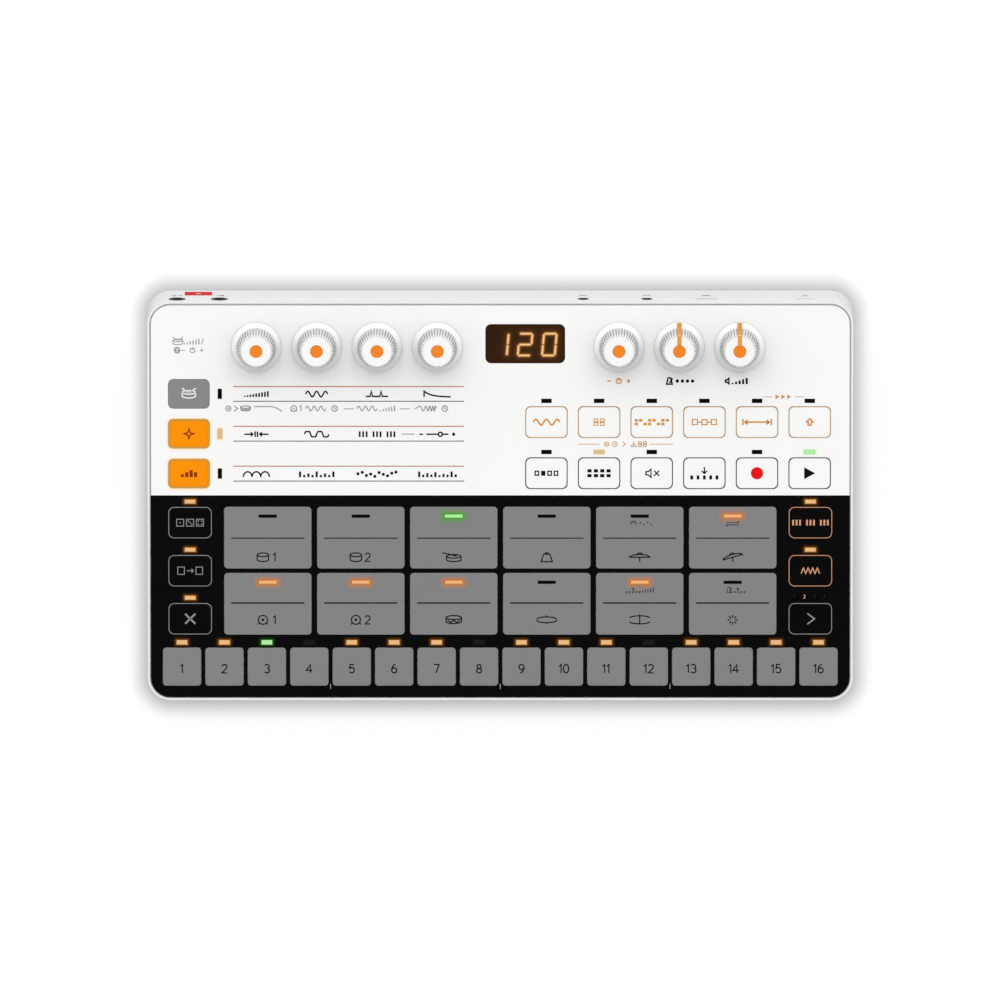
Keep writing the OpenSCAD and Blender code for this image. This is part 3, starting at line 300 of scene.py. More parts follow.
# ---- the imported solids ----

FINISHES = {
    "upper_case": white_shell, "lower_case": lower_shell, "battery_door": lower_shell,
    "control_overlay": white_film, "pad_overlay": black_film, "touch_pads": grey_film,
    "step_pads": grey_film, "display_window": display_tint, "display_module": dark_module,
    "panel_board": green_board, "main_board": green_board, "key_switches": contact_metal,
    "potentiometers": control_body, "data_encoder": control_body, "audio_jacks": black_plastic,
    "data_jacks": black_plastic, "usb_socket": socket_metal, "power_switch": black_plastic,
    "power_slider": black_plastic, "battery_contacts": contact_metal, "aa_cells": cell_jacket,
    "rubber_feet": foot_rubber, "screws": screw_metal, "ribbon_cable": ribbon_film,
    "drum_key": pale_grey_film, "effect_key": lit_key, "sequence_key": lit_key,
}
POINTED_KNOBS = ("tempo_knob", "volume_knob")
KNOBS = ("param_knob_1", "param_knob_2", "param_knob_3", "param_knob_4", "data_knob") + POINTED_KNOBS
REAR_KEYS = ("sound_key", "kit_key", "pattern_key", "song_key", "length_key", "alt_key")
FRONT_KEYS = ("select_key", "select_all_key", "mute_key", "tap_key", "record_key", "play_key")
LEFT_KEYS = ("random_key", "copy_key", "clear_key")
RIGHT_KEYS = ("stutter_key", "roll_key", "bank_key")
FINISHES.update({key: white_film for key in REAR_KEYS + FRONT_KEYS})
FINISHES.update({key: black_film for key in LEFT_KEYS + RIGHT_KEYS})
FINISHES.update({knob.replace("knob", "shaft"): shaft_metal for knob in KNOBS})

for node, finish in FINISHES.items():
    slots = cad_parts[node].data.materials
    slots.clear()
    slots.append(finish)

# A knob's parts, above the film: the skirt's slope, the ribs up to the bevel, and the sunk mark on top.
# The hub lies inside the grip. The grooves start above the skirt.
KNOB_H, DOT_R, DOT_W, BAR_HALF, HUB_R = 11.0, 2.35, 10.85, 0.8, 4.0
SKIRT_R, SKIRT_W, BAR_FOOT_W = 8.95, 1.3, 2.4
GROOVE_W, GROOVE_D = 2.35, 0.1
RIM = ((0.5, 8.95), (1.3, 8.95), (2.3, 7.4), (2.31, 7.17), (10.5, 6.25), (11.0, 5.75))


def rim(w):
    """The knob's radius over its ribs at a height."""
    for (low_w, low_r), (high_w, high_r) in zip(RIM, RIM[1:]):
        if w <= high_w:
            return low_r + (high_r - low_r) * (w - low_w) / (high_w - low_w)
    return RIM[-1][1]


KNOB_SPOTS = {}
for knob in KNOBS:
    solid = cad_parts[knob]
    solid.data.materials.clear()
    for finish in (white_knob, knob_groove_painted_shade, knob_mark, knob_pointer):
        solid.data.materials.append(finish)
    spots = [slope_place(v.co) for v in solid.data.vertices]
    knob_x, knob_v = ((min(s[i] for s in spots) + max(s[i] for s in spots)) / 2 for i in (0, 1))
    KNOB_SPOTS[knob] = (knob_x, knob_v)
    pointed = knob in POINTED_KNOBS
    for face in solid.data.polygons:
        x, v, w = slope_place(face.center)
        away = math.hypot(x - knob_x, v - knob_v)
        if w > DOT_W - 0.05 and away < DOT_R + 0.02:
            face.material_index = 2
        elif w < SKIRT_W + 0.05 or w > KNOB_H - 0.01 or away < HUB_R or away > SKIRT_R - 0.05:
            continue
        elif pointed and v > knob_v and abs(x - knob_x) < BAR_HALF + 0.01 and away > rim(w) + 0.02:
            face.material_index = 3
        # Groove faces between the ribs take the painted shade finish
        elif w > GROOVE_W and away < rim(w) - GROOVE_D:
            face.material_index = 1

# ---- lights on the panel ----

STEP_PITCH, PAD_PITCH, FUNC_PITCH = 15.41, 33.75, 19.1
PAD_VS = (34.45, 58.8)
SIDE_X, SIDE_VS = 112.575, (28.925, 46.625, 64.325)
FUNC_X0 = 16.75
MODE_X, MODE_VS = -101.7, (82.375, 97.025, 111.675)
BANK_PITCH = 3.6
STEP_LED_V, FUNC_LED_V = 20.2, 90.3
PAD_LED_UP, SIDE_LED_UP = 7.9, 7.7
DARK_FILM_END = 74.35

# Each kind of lamp's width and length
STEP_LAMP, PAD_LAMP, SIDE_LAMP = (3.8, 1.5), (6.4, 1.0), (3.8, 1.3)
FUNC_LAMP, MODE_LAMP = (3.6, 1.4), (1.35, 3.6)
LAMP_REACH = 4        # a lens's faces lie this close to its lamp

STEP_STATES = "ssgusssusssussss"
PAD_STATES = ("ooo-o-", "--h--o")
lamps = []            # (x, v, width, length, state, what lies around it)
for i, state in enumerate(STEP_STATES):
    lamps.append(((i - 7.5) * STEP_PITCH, STEP_LED_V, *STEP_LAMP, state, "black"))
for v, states in zip(PAD_VS, PAD_STATES):
    for i, state in enumerate(states):
        lamps.append(((i - 2.5) * PAD_PITCH, v + PAD_LED_UP, *PAD_LAMP, state, "grey"))
for k, v in enumerate(SIDE_VS):
    lamps.append((-SIDE_X, v + SIDE_LED_UP, *SIDE_LAMP, "a", "black"))
    if k:
        lamps.append((SIDE_X, v + SIDE_LED_UP, *SIDE_LAMP, "a", "black"))
for i, state in enumerate("-p---m"):
    if i != 3:
        lamps.append((FUNC_X0 + i * FUNC_PITCH, FUNC_LED_V, *FUNC_LAMP, state, "white"))
for v, state in zip(MODE_VS, "-q-"):
    lamps.append((MODE_X, v, *MODE_LAMP, state, "white"))

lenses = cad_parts["led_lenses"].data
lenses.materials.clear()
for finish in GUIDES.values():
    lenses.materials.append(finish)
for face in lenses.polygons:
    x, v, w = slope_place(face.center)
    away, state = min((math.hypot(lamp[0] - x, lamp[1] - v), lamp[4]) for lamp in lamps)
    if away < LAMP_REACH:
        face.material_index = list(GUIDES).index(state)

# ---- ink and light, as thin solids on what carries them ----

SINK = 0.01           # how far a thin solid reaches into its surface
INK_T = 0.02          # how far ink stands out of it
GLOW_T = 0.012        # the same for a patch of glow, which stays below the ink
SHARPEST = 0.45       # keeps the point of a line's sharp bend short


def piece(name, mesh, body, materials):
    """Makes an object of a bmesh, on a body of the frame."""
    data = bpy.data.meshes.new(name)
    bmesh.ops.recalc_face_normals(mesh, faces=mesh.faces)
    mesh.to_mesh(data)
    mesh.free()
    made = bpy.data.objects.new(name, data)
    scene.collection.objects.link(made)
    for material in materials:
        data.materials.append(material)
    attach(made, body)
    return made


def rounded(width, length, radius, steps=6, away=0.0, below=0.0, above=0.0):
    """A rounded rectangle's outline, grown by a distance that may differ down and up the slope."""
    corners = ((1, 1, 0, above), (-1, 1, 90, above), (-1, -1, 180, below), (1, -1, 270, below))
    x, y = width / 2 - radius, length / 2 - radius
    return [
        point for sx, sy, start, up in corners
        for point in arc(sx * x, sy * y, radius + away, radius + up, start, start + 90, steps)
    ]


def arc(x, y, rx, ry, start, end, steps=16):
    turns = (math.radians(start + (end - start) * i / steps) for i in range(steps + 1))
    return [(x + rx * math.cos(turn), y + ry * math.sin(turn)) for turn in turns]


def strip(mesh, place, rows, closed, ink, height):
    """A thin solid between the two sides that rows of (left, right) points give."""
    corners = [
        [mesh.verts.new(place(*side, level)) for level in (height, -SINK) for side in row]
        for row in rows
    ]
    count = len(corners)
    for i in range(count if closed else count - 1):
        a, b = corners[i], corners[(i + 1) % count]
        for m, n in ((0, 1), (1, 3), (3, 2), (2, 0)):
            mesh.faces.new((a[m], a[n], b[n], b[m])).material_index = ink
    if not closed:
        for end in (corners[0], corners[-1]):
            mesh.faces.new((end[0], end[1], end[3], end[2])).material_index = ink


def line(mesh, place, points, width, ink, height=INK_T):
    """A line of ink. It is closed if its last point is its first."""
    points = [Vector(p) for p in points]
    closed = (points[0] - points[-1]).length < 1e-6
    points = points[:-1] if closed else points
    points = [p for i, p in enumerate(points) if i == 0 or (p - points[i - 1]).length > 1e-6]
    rows = []
    for i, point in enumerate(points):
        ahead = points[(i + 1) % len(points)] - point if closed or i < len(points) - 1 else None
        behind = point - points[i - 1] if closed or i else ahead
        ahead = (behind if ahead is None else ahead).normalized()
        behind = behind.normalized()
        side = Vector((-(ahead.y + behind.y), ahead.x + behind.x))
        side = side.normalized() if side.length > 1e-6 else Vector((-ahead.y, ahead.x))
        reach = width / 2 / max(side.dot(Vector((-ahead.y, ahead.x))), SHARPEST)
        rows.append((tuple(point + side * reach), tuple(point - side * reach)))
    strip(mesh, place, rows, closed, ink, height)


def fill(mesh, place, outline, ink, height=INK_T):
    """A solid shape of ink with a convex outline."""
    top = [mesh.verts.new(place(*p, height)) for p in outline]
    low = [mesh.verts.new(place(*p, -SINK)) for p in outline]
    mesh.faces.new(top).material_index = ink
    mesh.faces.new(low[::-1]).material_index = ink
    for i in range(len(top)):
        j = (i + 1) % len(top)
        mesh.faces.new((top[i], low[i], low[j], top[j])).material_index = ink


# ---- glyphs ----


def wave(shape, cycles, width, height, steps):
    """A signal drawn over some cycles."""
    turns = [i / steps * cycles for i in range(steps + 1)]
    return [(width * (t / cycles - 0.5), height * shape(t)) for t in turns]


def block(x, y, width, height):
    return [
        (x - width / 2, y - height / 2), (x + width / 2, y - height / 2),
        (x + width / 2, y + height / 2), (x - width / 2, y + height / 2),
    ]


def frame_line(x, y, width, height):
    corners = block(x, y, width, height)
    return corners + corners[:1]


def dot(x, y, radius):
    return arc(x, y, radius, radius, 0, 360 - 360 / 12, 11)


def turned(points, degrees):
    cos, sin = math.cos(math.radians(degrees)), math.sin(math.radians(degrees))
    return [(x * cos - y * sin, x * sin + y * cos) for x, y in points]


def sine(t):
    return math.sin(2 * math.pi * t)


def bars(heights, pitch, width, low=-0.5):
    """Upright bars that stand on one line."""
    start = -pitch * (len(heights) - 1) / 2
    return [block(start + pitch * i, low + tall / 2, width, tall) for i, tall in enumerate(heights)]


def ring(x, y, rx, ry=None, steps=20):
    return arc(x, y, rx, ry or rx, 0, 360, steps)


def cup(top, low, rx, ry):
    """A drum: its head, and its side down to its lower rim."""
    return [ring(0, top, rx, ry), [(-rx, top), (-rx, low)] + arc(0, low, rx, ry, 180, 360, 12) + [(rx, top)]]


def cymbal(y, rise):
    """One cymbal seen from the side."""
    return arc(0, y, 1.1, rise, 180, 0, 12)


def head(x, back, rise):
    """An arrow's head with its tip at x."""
    return [(x + back, rise), (x, 0), (x + back, -rise)]


SIX = [ring(0, -0.2, 0.29, 0.3), arc(0.19, -0.2, 0.48, 0.7, 180, 95, 10)]
SPEAKER = [
    (-0.62, -0.17), (-0.38, -0.17), (-0.08, -0.45), (-0.08, 0.45), (-0.38, 0.17), (-0.62, 0.17),
    (-0.62, -0.17),
]
PLATE = cymbal(0, 0.3) + [(-1.1, 0)]
STAND = [(0, 0), (0, -0.5)]
BELL = arc(0, 0.28, 0.28, 0.2, 180, 0, 8)

# Every glyph is one unit high, about its own middle: lines in DRAWN, solid shapes in FILLED.
DRAWN = {
    "0": [ring(0, 0, 0.3, 0.5)],
    "1": [[(-0.18, 0.26), (0.05, 0.5), (0.05, -0.5)]],
    "2": [arc(0, 0.22, 0.28, 0.28, 165, -30) + [(-0.3, -0.5), (0.32, -0.5)]],
    "3": [arc(0, 0.25, 0.26, 0.25, 150, -80), arc(0, -0.23, 0.3, 0.27, 80, -150)],
    "4": [[(0.13, -0.5), (0.13, 0.5), (-0.34, -0.2), (0.34, -0.2)]],
    "5": [[(0.26, 0.5), (-0.2, 0.5), (-0.25, 0.03)] + arc(0, -0.18, 0.3, 0.32, 138, -145)],
    "6": SIX,
    "7": [[(-0.3, 0.5), (0.3, 0.5), (-0.08, -0.5)]],
    "8": [ring(0, 0.26, 0.24, 0.24), ring(0, -0.24, 0.29, 0.26)],
    "9": [[(-x, -y) for x, y in stroke] for stroke in SIX],
    "tune": [wave(sine, 2.5, 3.8, 0.48, 50)],
    "snap": [[
        (-1.95, -0.4), (-1.2, -0.4), (-1.0, 0.5), (-0.8, -0.4),
        (0.5, -0.4), (0.7, 0.5), (0.9, -0.4), (1.9, -0.4),
    ]],
    "decay": [[(-2.3, -0.5)] + [(0.46 * i - 2.3, math.exp(-0.38 * i) - 0.5) for i in range(11)]],
    "squeeze": [
        [(-2.1, 0), (-0.6, 0)], head(-0.6, -0.35, 0.35), [(2.1, 0), (0.6, 0)], head(0.6, 0.35, 0.35),
        [(-0.2, 0.5), (-0.2, -0.5)], [(0.2, 0.5), (0.2, -0.5)],
    ],
    "drive": [wave(lambda t: min(max(1.9 * sine(t), -1), 1), 2, 4.2, 0.46, 48)],
    "amount": [
        [(-3.1, 0), (-2.5, 0)], [(-1.9, 0), (0.15, 0)], [(0.85, 0), (1.9, 0)], [(2.5, 0), (3.1, 0)],
        [(2.8, 0.3), (2.8, -0.3)], ring(0.5, 0, 0.35),
    ],
    "swing": [arc(x, -0.45, 0.75, 0.9, 180, 0, 12) for x in (-1.5, 0.0, 1.5)],
    "low_pass": [[(-2.6, 0.35)] + [(0.2 + 0.24 * i, 0.35 - 0.011 * i * i) for i in range(10)]],
    "pitch": [wave(sine, 3, 3.6, 0.42, 54)],
    "sweep": [wave(lambda t: sine(0.5 * t * t), 3, 3.8, 0.42, 70)],
    "clock": [ring(0, 0, 0.5), [(0, 0.3), (0, 0), (0.22, -0.12)]],
    "kick": [ring(0, 0, 0.5), [(-0.36, -0.34), (-0.55, -0.5)], [(0.36, -0.34), (0.55, -0.5)]],
    "tom": cup(0.27, -0.27, 0.62, 0.21),
    "snare": cup(0.25, -0.2, 0.85, 0.22) + [
        [(-0.7, -0.02), (-0.35, -0.3), (0, -0.08), (0.35, -0.3), (0.7, -0.02)],
    ],
    "rim": cup(0.1, -0.28, 0.8, 0.2) + [[(-1.25, 0.5), (0.35, 0.12)]],
    "cowbell": [
        [(-0.34, 0.34), (0.34, 0.34), (0.62, -0.5), (-0.62, -0.5), (-0.34, 0.34)],
        arc(0, 0.34, 0.18, 0.18, 180, 0, 8),
    ],
    "ride": [PLATE, STAND, BELL],
    "crash": [turned(PLATE, 16), STAND, turned(BELL, 16)],
    "closed": [cymbal(0.04, 0.28), cymbal(-0.04, -0.28), [(0, 0.5), (0, 0.32)], [(0, -0.32), (0, -0.5)]],
    "open": [cymbal(0.2, 0.25), cymbal(-0.2, -0.25), [(0, 0.6), (0, -0.5)]],
    "clap": [turned([(0.24, 0), (0.55, 0)], a) for a in range(0, 360, 45)],
    "wave": [wave(sine, 2.5, 4.2, 0.46, 50)],
    "kit": [frame_line(x, y, 0.62, 0.42) for x in (-0.5, 0.5) for y in (-0.3, 0.3)],
    "chain": [frame_line(x, 0, 0.8, 0.8) for x in (-1.5, 0, 1.5)]
    + [[(x - 0.35, 0), (x + 0.35, 0)] for x in (-0.75, 0.75)],
    "span": [
        [(-1.9, 0), (1.9, 0)], head(-1.9, 0.4, 0.35), head(1.9, -0.4, 0.35),
        [(-2.25, 0.5), (-2.25, -0.5)], [(2.25, 0.5), (2.25, -0.5)],
    ],
    "shift": [[
        (0, 0.55), (0.55, 0.02), (0.24, 0.02), (0.24, -0.5),
        (-0.24, -0.5), (-0.24, 0.02), (-0.55, 0.02), (0, 0.55),
    ]],
    "one_of": [frame_line(x, 0, 0.6, 0.7) for x in (-1.65, 0.55, 1.65)],
    "mute": [SPEAKER, [(0.25, 0.28), (0.8, -0.28)], [(0.25, -0.28), (0.8, 0.28)]],
    "tap": [[(0, 0.62), (0, 0.0)], [(-0.26, 0.24), (0, -0.02), (0.26, 0.24)]],
    "dice": [frame_line(x, 0, 0.85, 0.85) for x in (-1.2, 0, 1.2)],
    "copy": [
        frame_line(-1.1, 0, 0.8, 0.9), frame_line(1.1, 0, 0.8, 0.9),
        [(-0.4, 0), (0.4, 0)], head(0.4, -0.25, 0.25),
    ],
    "cross": [[(-0.5, 0.5), (0.5, -0.5)], [(-0.5, -0.5), (0.5, 0.5)]],
    "next": [head(0.33, -0.66, 0.5)],
    "roll": [wave(lambda t: 1 - 4 * abs(t % 1 - 0.5), 4, 3.2, 0.5, 32)],
    "drum": cup(0.2, -0.3, 0.85, 0.24) + [[(-0.9, 0.75), (-0.1, 0.2)], [(0.9, 0.75), (0.1, 0.2)]],
    "spark": [[
        (0, 0.6), (0.14, 0.14), (0.6, 0), (0.14, -0.14),
        (0, -0.6), (-0.14, -0.14), (-0.6, 0), (-0.14, 0.14), (0, 0.6),
    ]],
    "dial": [
        [(-1.9, 0), (-1.3, 0)], [(1.3, 0), (1.9, 0)], [(1.6, 0.3), (1.6, -0.3)],
        ring(0, 0, 0.42), [(0, 0), (0, 0.42)],
    ],
    "beat": [
        [(-2.0, -0.5), (-1.1, -0.5), (-1.35, 0.5), (-1.75, 0.5), (-2.0, -0.5)], [(-1.55, -0.3), (-1.05, 0.4)],
    ],
    "volume": [[(x - 1.6, y) for x, y in SPEAKER]],
    "metronome": [
        [(-0.42, -0.5), (0.42, -0.5), (0.2, 0.5), (-0.2, 0.5), (-0.42, -0.5)], [(0, -0.3), (0.55, 0.45)],
    ],
    "globe": [ring(0, 0, 0.5), ring(0, 0, 0.22, 0.5), [(-0.5, 0), (0.5, 0)]],
    "slash": [[(-0.15, -0.5), (0.15, 0.5)]],
    "ports": [arc(0, -0.1, 0.62, 0.62, 0, 180, 12)],
    "swap": [
        [(-1.2, 0.2), (1.2, 0.2)], [(0.9, 0.5), (1.25, 0.2)],
        [(1.2, -0.2), (-1.2, -0.2)], [(-0.9, -0.5), (-1.25, -0.2)],
    ],
    "store": [
        [(0, 0.5), (0, -0.2)], [(-0.25, 0.05), (0, -0.2), (0.25, 0.05)],
        [(-0.5, -0.1), (-0.5, -0.5), (0.5, -0.5), (0.5, -0.1)],
    ],
    "hold": [ring(0, 0, 0.45)],
    "power": [arc(0, -0.05, 0.42, 0.42, 125, 415, 20), [(0, 0.05), (0, 0.55)]],
    "out": [
        [(-0.2, 0.45), (-0.7, 0.45), (-0.7, -0.45), (-0.2, -0.45)],
        [(-0.4, 0), (0.7, 0)], head(0.72, -0.32, 0.28),
    ],
    "in": [
        [(0.2, 0.45), (0.7, 0.45), (0.7, -0.45), (0.2, -0.45)],
        [(-0.7, 0), (0.35, 0)], head(0.37, -0.32, 0.28),
    ],
    "plug": [frame_line(0, 0, 1.3, 0.5), [(-0.35, 0), (0.35, 0)]],
}
FILLED = {
    "level": bars([0.2 + 0.1 * i for i in range(9)], 0.5, 0.31),
    "bursts": [block(x + dx, 0, 0.32, 1) for x in (-2.4, 0.0, 2.4) for dx in (-0.6, 0, 0.6)],
    "divide": bars([1, 0.4, 0.65, 0.4, 1, 0.4, 0.65, 0.4, 1], 0.72, 0.38),
    "scatter": [
        dot(0.73 * i - 3.3, 0.1 * y, 0.28) for i, y in enumerate((1, 3.5, -2, 0.5, -3.5, 3, 0, -2.5, 2, 4))
    ],
    "accent": bars([1, 0.45, 0.7, 0.45, 0.9, 0.35, 0.6, 0.45, 1, 0.5], 0.7, 0.38),
    "kick": [dot(0, 0, 0.15)],
    "pattern": [
        block(0.7 * i - 2.45, y, 0.52, 0.42) for i in range(8) for y in ((0.3, -0.3), (0.3,), (-0.3,))[i % 3]
    ],
    "one_of": [block(-0.55, 0, 0.75, 0.85)],
    "all_of": [block(x, y, 0.46, 0.36) for x in (-1.05, -0.35, 0.35, 1.05) for y in (-0.27, 0.27)],
    "tap": bars([0.4] * 5, 0.62, 0.27, -0.62),
    "dice": [
        dot(x, y, 0.09) for x, y in (
            (-1.2, 0), (-0.2, 0.2), (0.2, -0.2), (0, 0), (1.0, 0.2), (1.4, 0.2), (1.0, -0.2), (1.4, -0.2),
        )
    ],
    "stairs": bars([0.4, 0.7, 1.0, 0.7], 0.64, 0.46),
    "beat": [dot(x, 0, 0.27) for x in (-0.3, 0.5, 1.3, 2.1)],
    "volume": bars([0.2, 0.4, 0.6, 0.8, 1.0], 0.56, 0.34),
    "ports": [dot(x, y, 0.09) for x, y in arc(0, -0.05, 0.34, 0.34, 0, 180, 4)],
    "scatter_short": [dot(-1.05 + 0.7 * i, y, 0.16) for i, y in enumerate((0.2, -0.2, 0.3, -0.1))],
    "force": bars([0.25, 0.4, 0.55, 0.7, 0.85, 1.0], 0.5, 0.2),
    "hold": [dot(0, 0, 0.2)],
    "disc": [ring(0, 0, 0.5, steps=32)[:-1]],
    "play": [[(-0.45, -0.5), (0.45, 0), (-0.45, 0.5)]],
}


def glyph(mesh, place, name, x, y, height, stroke, ink):
    """Draws one glyph about a place."""
    for points in DRAWN.get(name, ()):
        line(mesh, place, [(x + px * height, y + py * height) for px, py in points], stroke, ink)
    for points in FILLED.get(name, ()):
        fill(mesh, place, [(x + px * height, y + py * height) for px, py in points], ink)


FIGURE, NARROW_FIGURE = 0.76, 0.5    # the room a figure takes, as a share of its height


def number(mesh, place, text, x, y, height, stroke, ink):
    """Draws a plain number about a place."""
    widths = [NARROW_FIGURE if figure == "1" else FIGURE for figure in text]
    at = x - height * sum(widths) / 2
    for figure, width in zip(text, widths):
        glyph(mesh, place, figure, at + height * width / 2, y, height, stroke, ink)
        at += height * width


def shifted(place, x, v):
    """The same surface, about another middle."""
    return lambda across, up, w: place(x + across, v + up, w)


# ---- legends on the keys ----

KEY_SIZES = {"func": (15.3, 11.6), "side": (15.7, 11.5), "mode": (15.0, 10.75)}
KEY_R = 2.1
OUTLINE, SIDE_OUTLINE = 0.32, 0.25


def key_legend(key, kind, rims, symbol, height, stroke, ink, shift=0.0):
    """The symbol on one key and the rims round it, from the edge inwards, which move with it."""
    mesh = bmesh.new()
    place = shifted(on_top, *spot(key))
    width, length = KEY_SIZES[kind]
    inset = 0.0
    for i, (edge, wide) in enumerate(rims):
        inset += wide / 2
        outline = rounded(width - 2 * inset, length - 2 * inset, KEY_R - inset)
        line(mesh, place, outline + outline[:1], wide, i + 1)
        inset += wide / 2
    glyph(mesh, place, symbol, shift, 0, height, stroke, 0)
    piece(key + "_legend", mesh, key, [INKS[ink]] + [INKS[edge] for edge, wide in rims])


for key, symbol, stroke in zip(
    REAR_KEYS, ("wave", "kit", "pattern", "chain", "span", "shift"), (0.62, 0.34, 0.4, 0.42, 0.58, 0.55),
):
    key_legend(key, "func", [("tan", OUTLINE)], symbol, 2.3, stroke, "orange")
dark_rim = [("slate", OUTLINE)]
silver_rim, peach_rim = ([(edge, SIDE_OUTLINE)] for edge in ("silver", "peach"))
for key, symbol, height in zip(FRONT_KEYS[:4], ("one_of", "all_of", "mute", "tap"), (2.1, 3.3, 3.4, 3.7)):
    key_legend(key, "func", dark_rim, symbol, height, 0.48, "black")
key_legend("record_key", "func", dark_rim, "disc", 4.5, 0.3, "red")
key_legend("play_key", "func", dark_rim, "play", 4.4, 0.3, "black")
for key, symbol in zip(LEFT_KEYS[:2], ("dice", "copy")):
    key_legend(key, "side", silver_rim, symbol, 3.0, 0.29, "silver")
key_legend("clear_key", "side", silver_rim, "cross", 3.7, 0.66, "silver")
for key, symbol in zip(RIGHT_KEYS[:2], ("bursts", "roll")):
    key_legend(key, "side", peach_rim, symbol, 2.1, 0.4, "peach")
key_legend("bank_key", "side", silver_rim, "next", 4.0, 0.46, "silver", shift=0.2)
lit_rims = [("honey", 0.35), ("amber", 0.55)]
key_legend("drum_key", "mode", [], "drum", 2.8, 0.5, "white")
key_legend("effect_key", "mode", lit_rims, "spark", 3.1, 0.5, "rust")
key_legend("sequence_key", "mode", lit_rims, "stairs", 2.5, 0.3, "rust")

# The pointer's paint, on the knob's top and on the outer face of the bar's foot
foot = [BAR_HALF * (i / 2 - 1) for i in range(5)]
for knob in POINTED_KNOBS:
    mesh = bmesh.new()
    knob_x, knob_v = KNOB_SPOTS[knob]
    fill(
        mesh, lambda x, v, w: on_top(knob_x + x, knob_v + v, KNOB_H + w),
        block(0, (DOT_R + rim(KNOB_H)) / 2, 2 * BAR_HALF, rim(KNOB_H) - DOT_R), 0,
    )
    strip(
        mesh, lambda x, w, out: on_top(knob_x + x, knob_v + math.sqrt(SKIRT_R ** 2 - x ** 2) + out, w),
        [((x, SKIRT_W), (x, BAR_FOOT_W)) for x in foot], False, 0, INK_T,
    )
    piece(knob + "_pointer", mesh, knob, [knob_pointer])

# ---- print on the films ----

KNOB_XS = [KNOB_SPOTS[knob][0] for knob in KNOBS]


def rule(mesh, x0, x1, v, width, ink):
    """A straight printed line across the film."""
    line(mesh, on_top, [(x0, v), (x1, v)], width, ink)


ROW_LINES = ((114.37, 108.97), (99.75, 94.32), (85.1, 79.62))
ROW_VS = (111.6, 96.85, 82.1)
ROW_SYMBOLS = (
    ("level", "tune", "snap", "decay"),
    ("squeeze", "drive", "bursts", "amount"),
    ("swing", "divide", "scatter", "accent"),
)
LINE_X0, LINE_X1 = -96.9, -13.1
LABEL_H = 2.1
STROKE = 0.56

mesh = bmesh.new()
for (above, below), v, symbols in zip(ROW_LINES, ROW_VS, ROW_SYMBOLS):
    rule(mesh, LINE_X0, LINE_X1, above, 0.36, 1)
    rule(mesh, LINE_X0, LINE_X1, below, 0.31, 2)
    for x, symbol in zip(KNOB_XS, symbols):
        glyph(mesh, on_top, symbol, x, v, LABEL_H, STROKE, 0)
rule(mesh, -35.8, -31.0, 96.9, 0.26, 2)
piece("parameter_print", mesh, "case", [INKS["black"], INKS["line"], INKS["slate"]])

mesh = bmesh.new()
for x, symbol in (
    (-98.6, "hold"), (-95.9, "next"), (-92.4, "snare"), (-84.0, "low_pass"),
    (-74.9, "kick"), (-72.4, "1"), (-66.9, "pitch"), (-60.1, "clock"),
    (-48.3, "pitch"), (-40.9, "force"), (-27.2, "sweep"), (-20.1, "clock"),
):
    glyph(mesh, on_top, symbol, x, 106.3, 2.05, 0.38, 0)
for x in (-54.9, -34.6):
    rule(mesh, x - 1.8, x + 1.8, 106.2, 0.28, 0)
for x, v, symbol in (
    (-116.9, 130.9, "drum"), (-111.9, 130.9, "force"), (-108.0, 131.0, "slash"),
    (-117.2, 127.7, "globe"), (-111.6, 127.7, "dial"),
):
    glyph(mesh, on_top, symbol, x, v, 2.1, 0.31, 0)
piece("second_layer_print", mesh, "case", [INKS["pale"]])

mesh = bmesh.new()
KNOB_MARK_V = 116.4
glyph(mesh, on_top, "beat", KNOB_XS[5], KNOB_MARK_V, 2.3, STROKE, 0)
glyph(mesh, on_top, "volume", KNOB_XS[6], KNOB_MARK_V, 2.3, STROKE, 0)
glyph(mesh, on_top, "dial", KNOB_XS[4], KNOB_MARK_V, 2.2, 0.42, 1)
for x, symbol in (
    (100.6, "play"), (102.7, "play"), (104.8, "play"),
    (38.6, "hold"), (41.6, "clock"), (44.9, "next"), (48.4, "store"), (51.6, "kit"),
):
    glyph(mesh, on_top, symbol, x, 110.6 if x > 60 else 93.2, 1.75, 0.3, 2)
for x0, x1, v in ((95.2, 98.6, 110.6), (106.9, 110.2, 110.6), (28.3, 36.0, 93.2), (54.2, 62.6, 93.2)):
    rule(mesh, x0, x1, v, 0.24, 2)
piece("control_print", mesh, "case", [INKS["black"], INKS["orange"], INKS["tan"]])

# A fine grey line of painted shade round the white part, along the film's edge where it meets the case
FILM_W, FILM_R, FILM_SPLIT, EDGE_SHADE_WIDTH = 253.8, 7.2, 74.6, 0.18
mesh = bmesh.new()
inset = EDGE_SHADE_WIDTH / 2
bend = FILM_W / 2 - FILM_R
line(
    mesh, on_top,
    [(FILM_W / 2 - inset, FILM_SPLIT)]
    + arc(bend, FILM_L - FILM_R, FILM_R - inset, FILM_R - inset, 0, 90)
    + arc(-bend, FILM_L - FILM_R, FILM_R - inset, FILM_R - inset, 90, 180)
    + [(inset - FILM_W / 2, FILM_SPLIT)],
    EDGE_SHADE_WIDTH, 0,
)
piece("film_edge_line", mesh, "case", [INKS["edge"]])

mesh = bmesh.new()
for x in (-61.64, 0.0, 61.64):
    line(mesh, on_top, [(x, 3.1), (x, 5.0)], 0.3, 0)
for i, figure in enumerate("1234"):
    number(mesh, on_top, figure, SIDE_X + (i - 1.6) * BANK_PITCH, 37.1, 1.15, 0.2, 2 if figure == "2" else 1)
piece("dark_film_print", mesh, "case", [INKS["pale"], INKS["ghost"], INKS["lit"]])

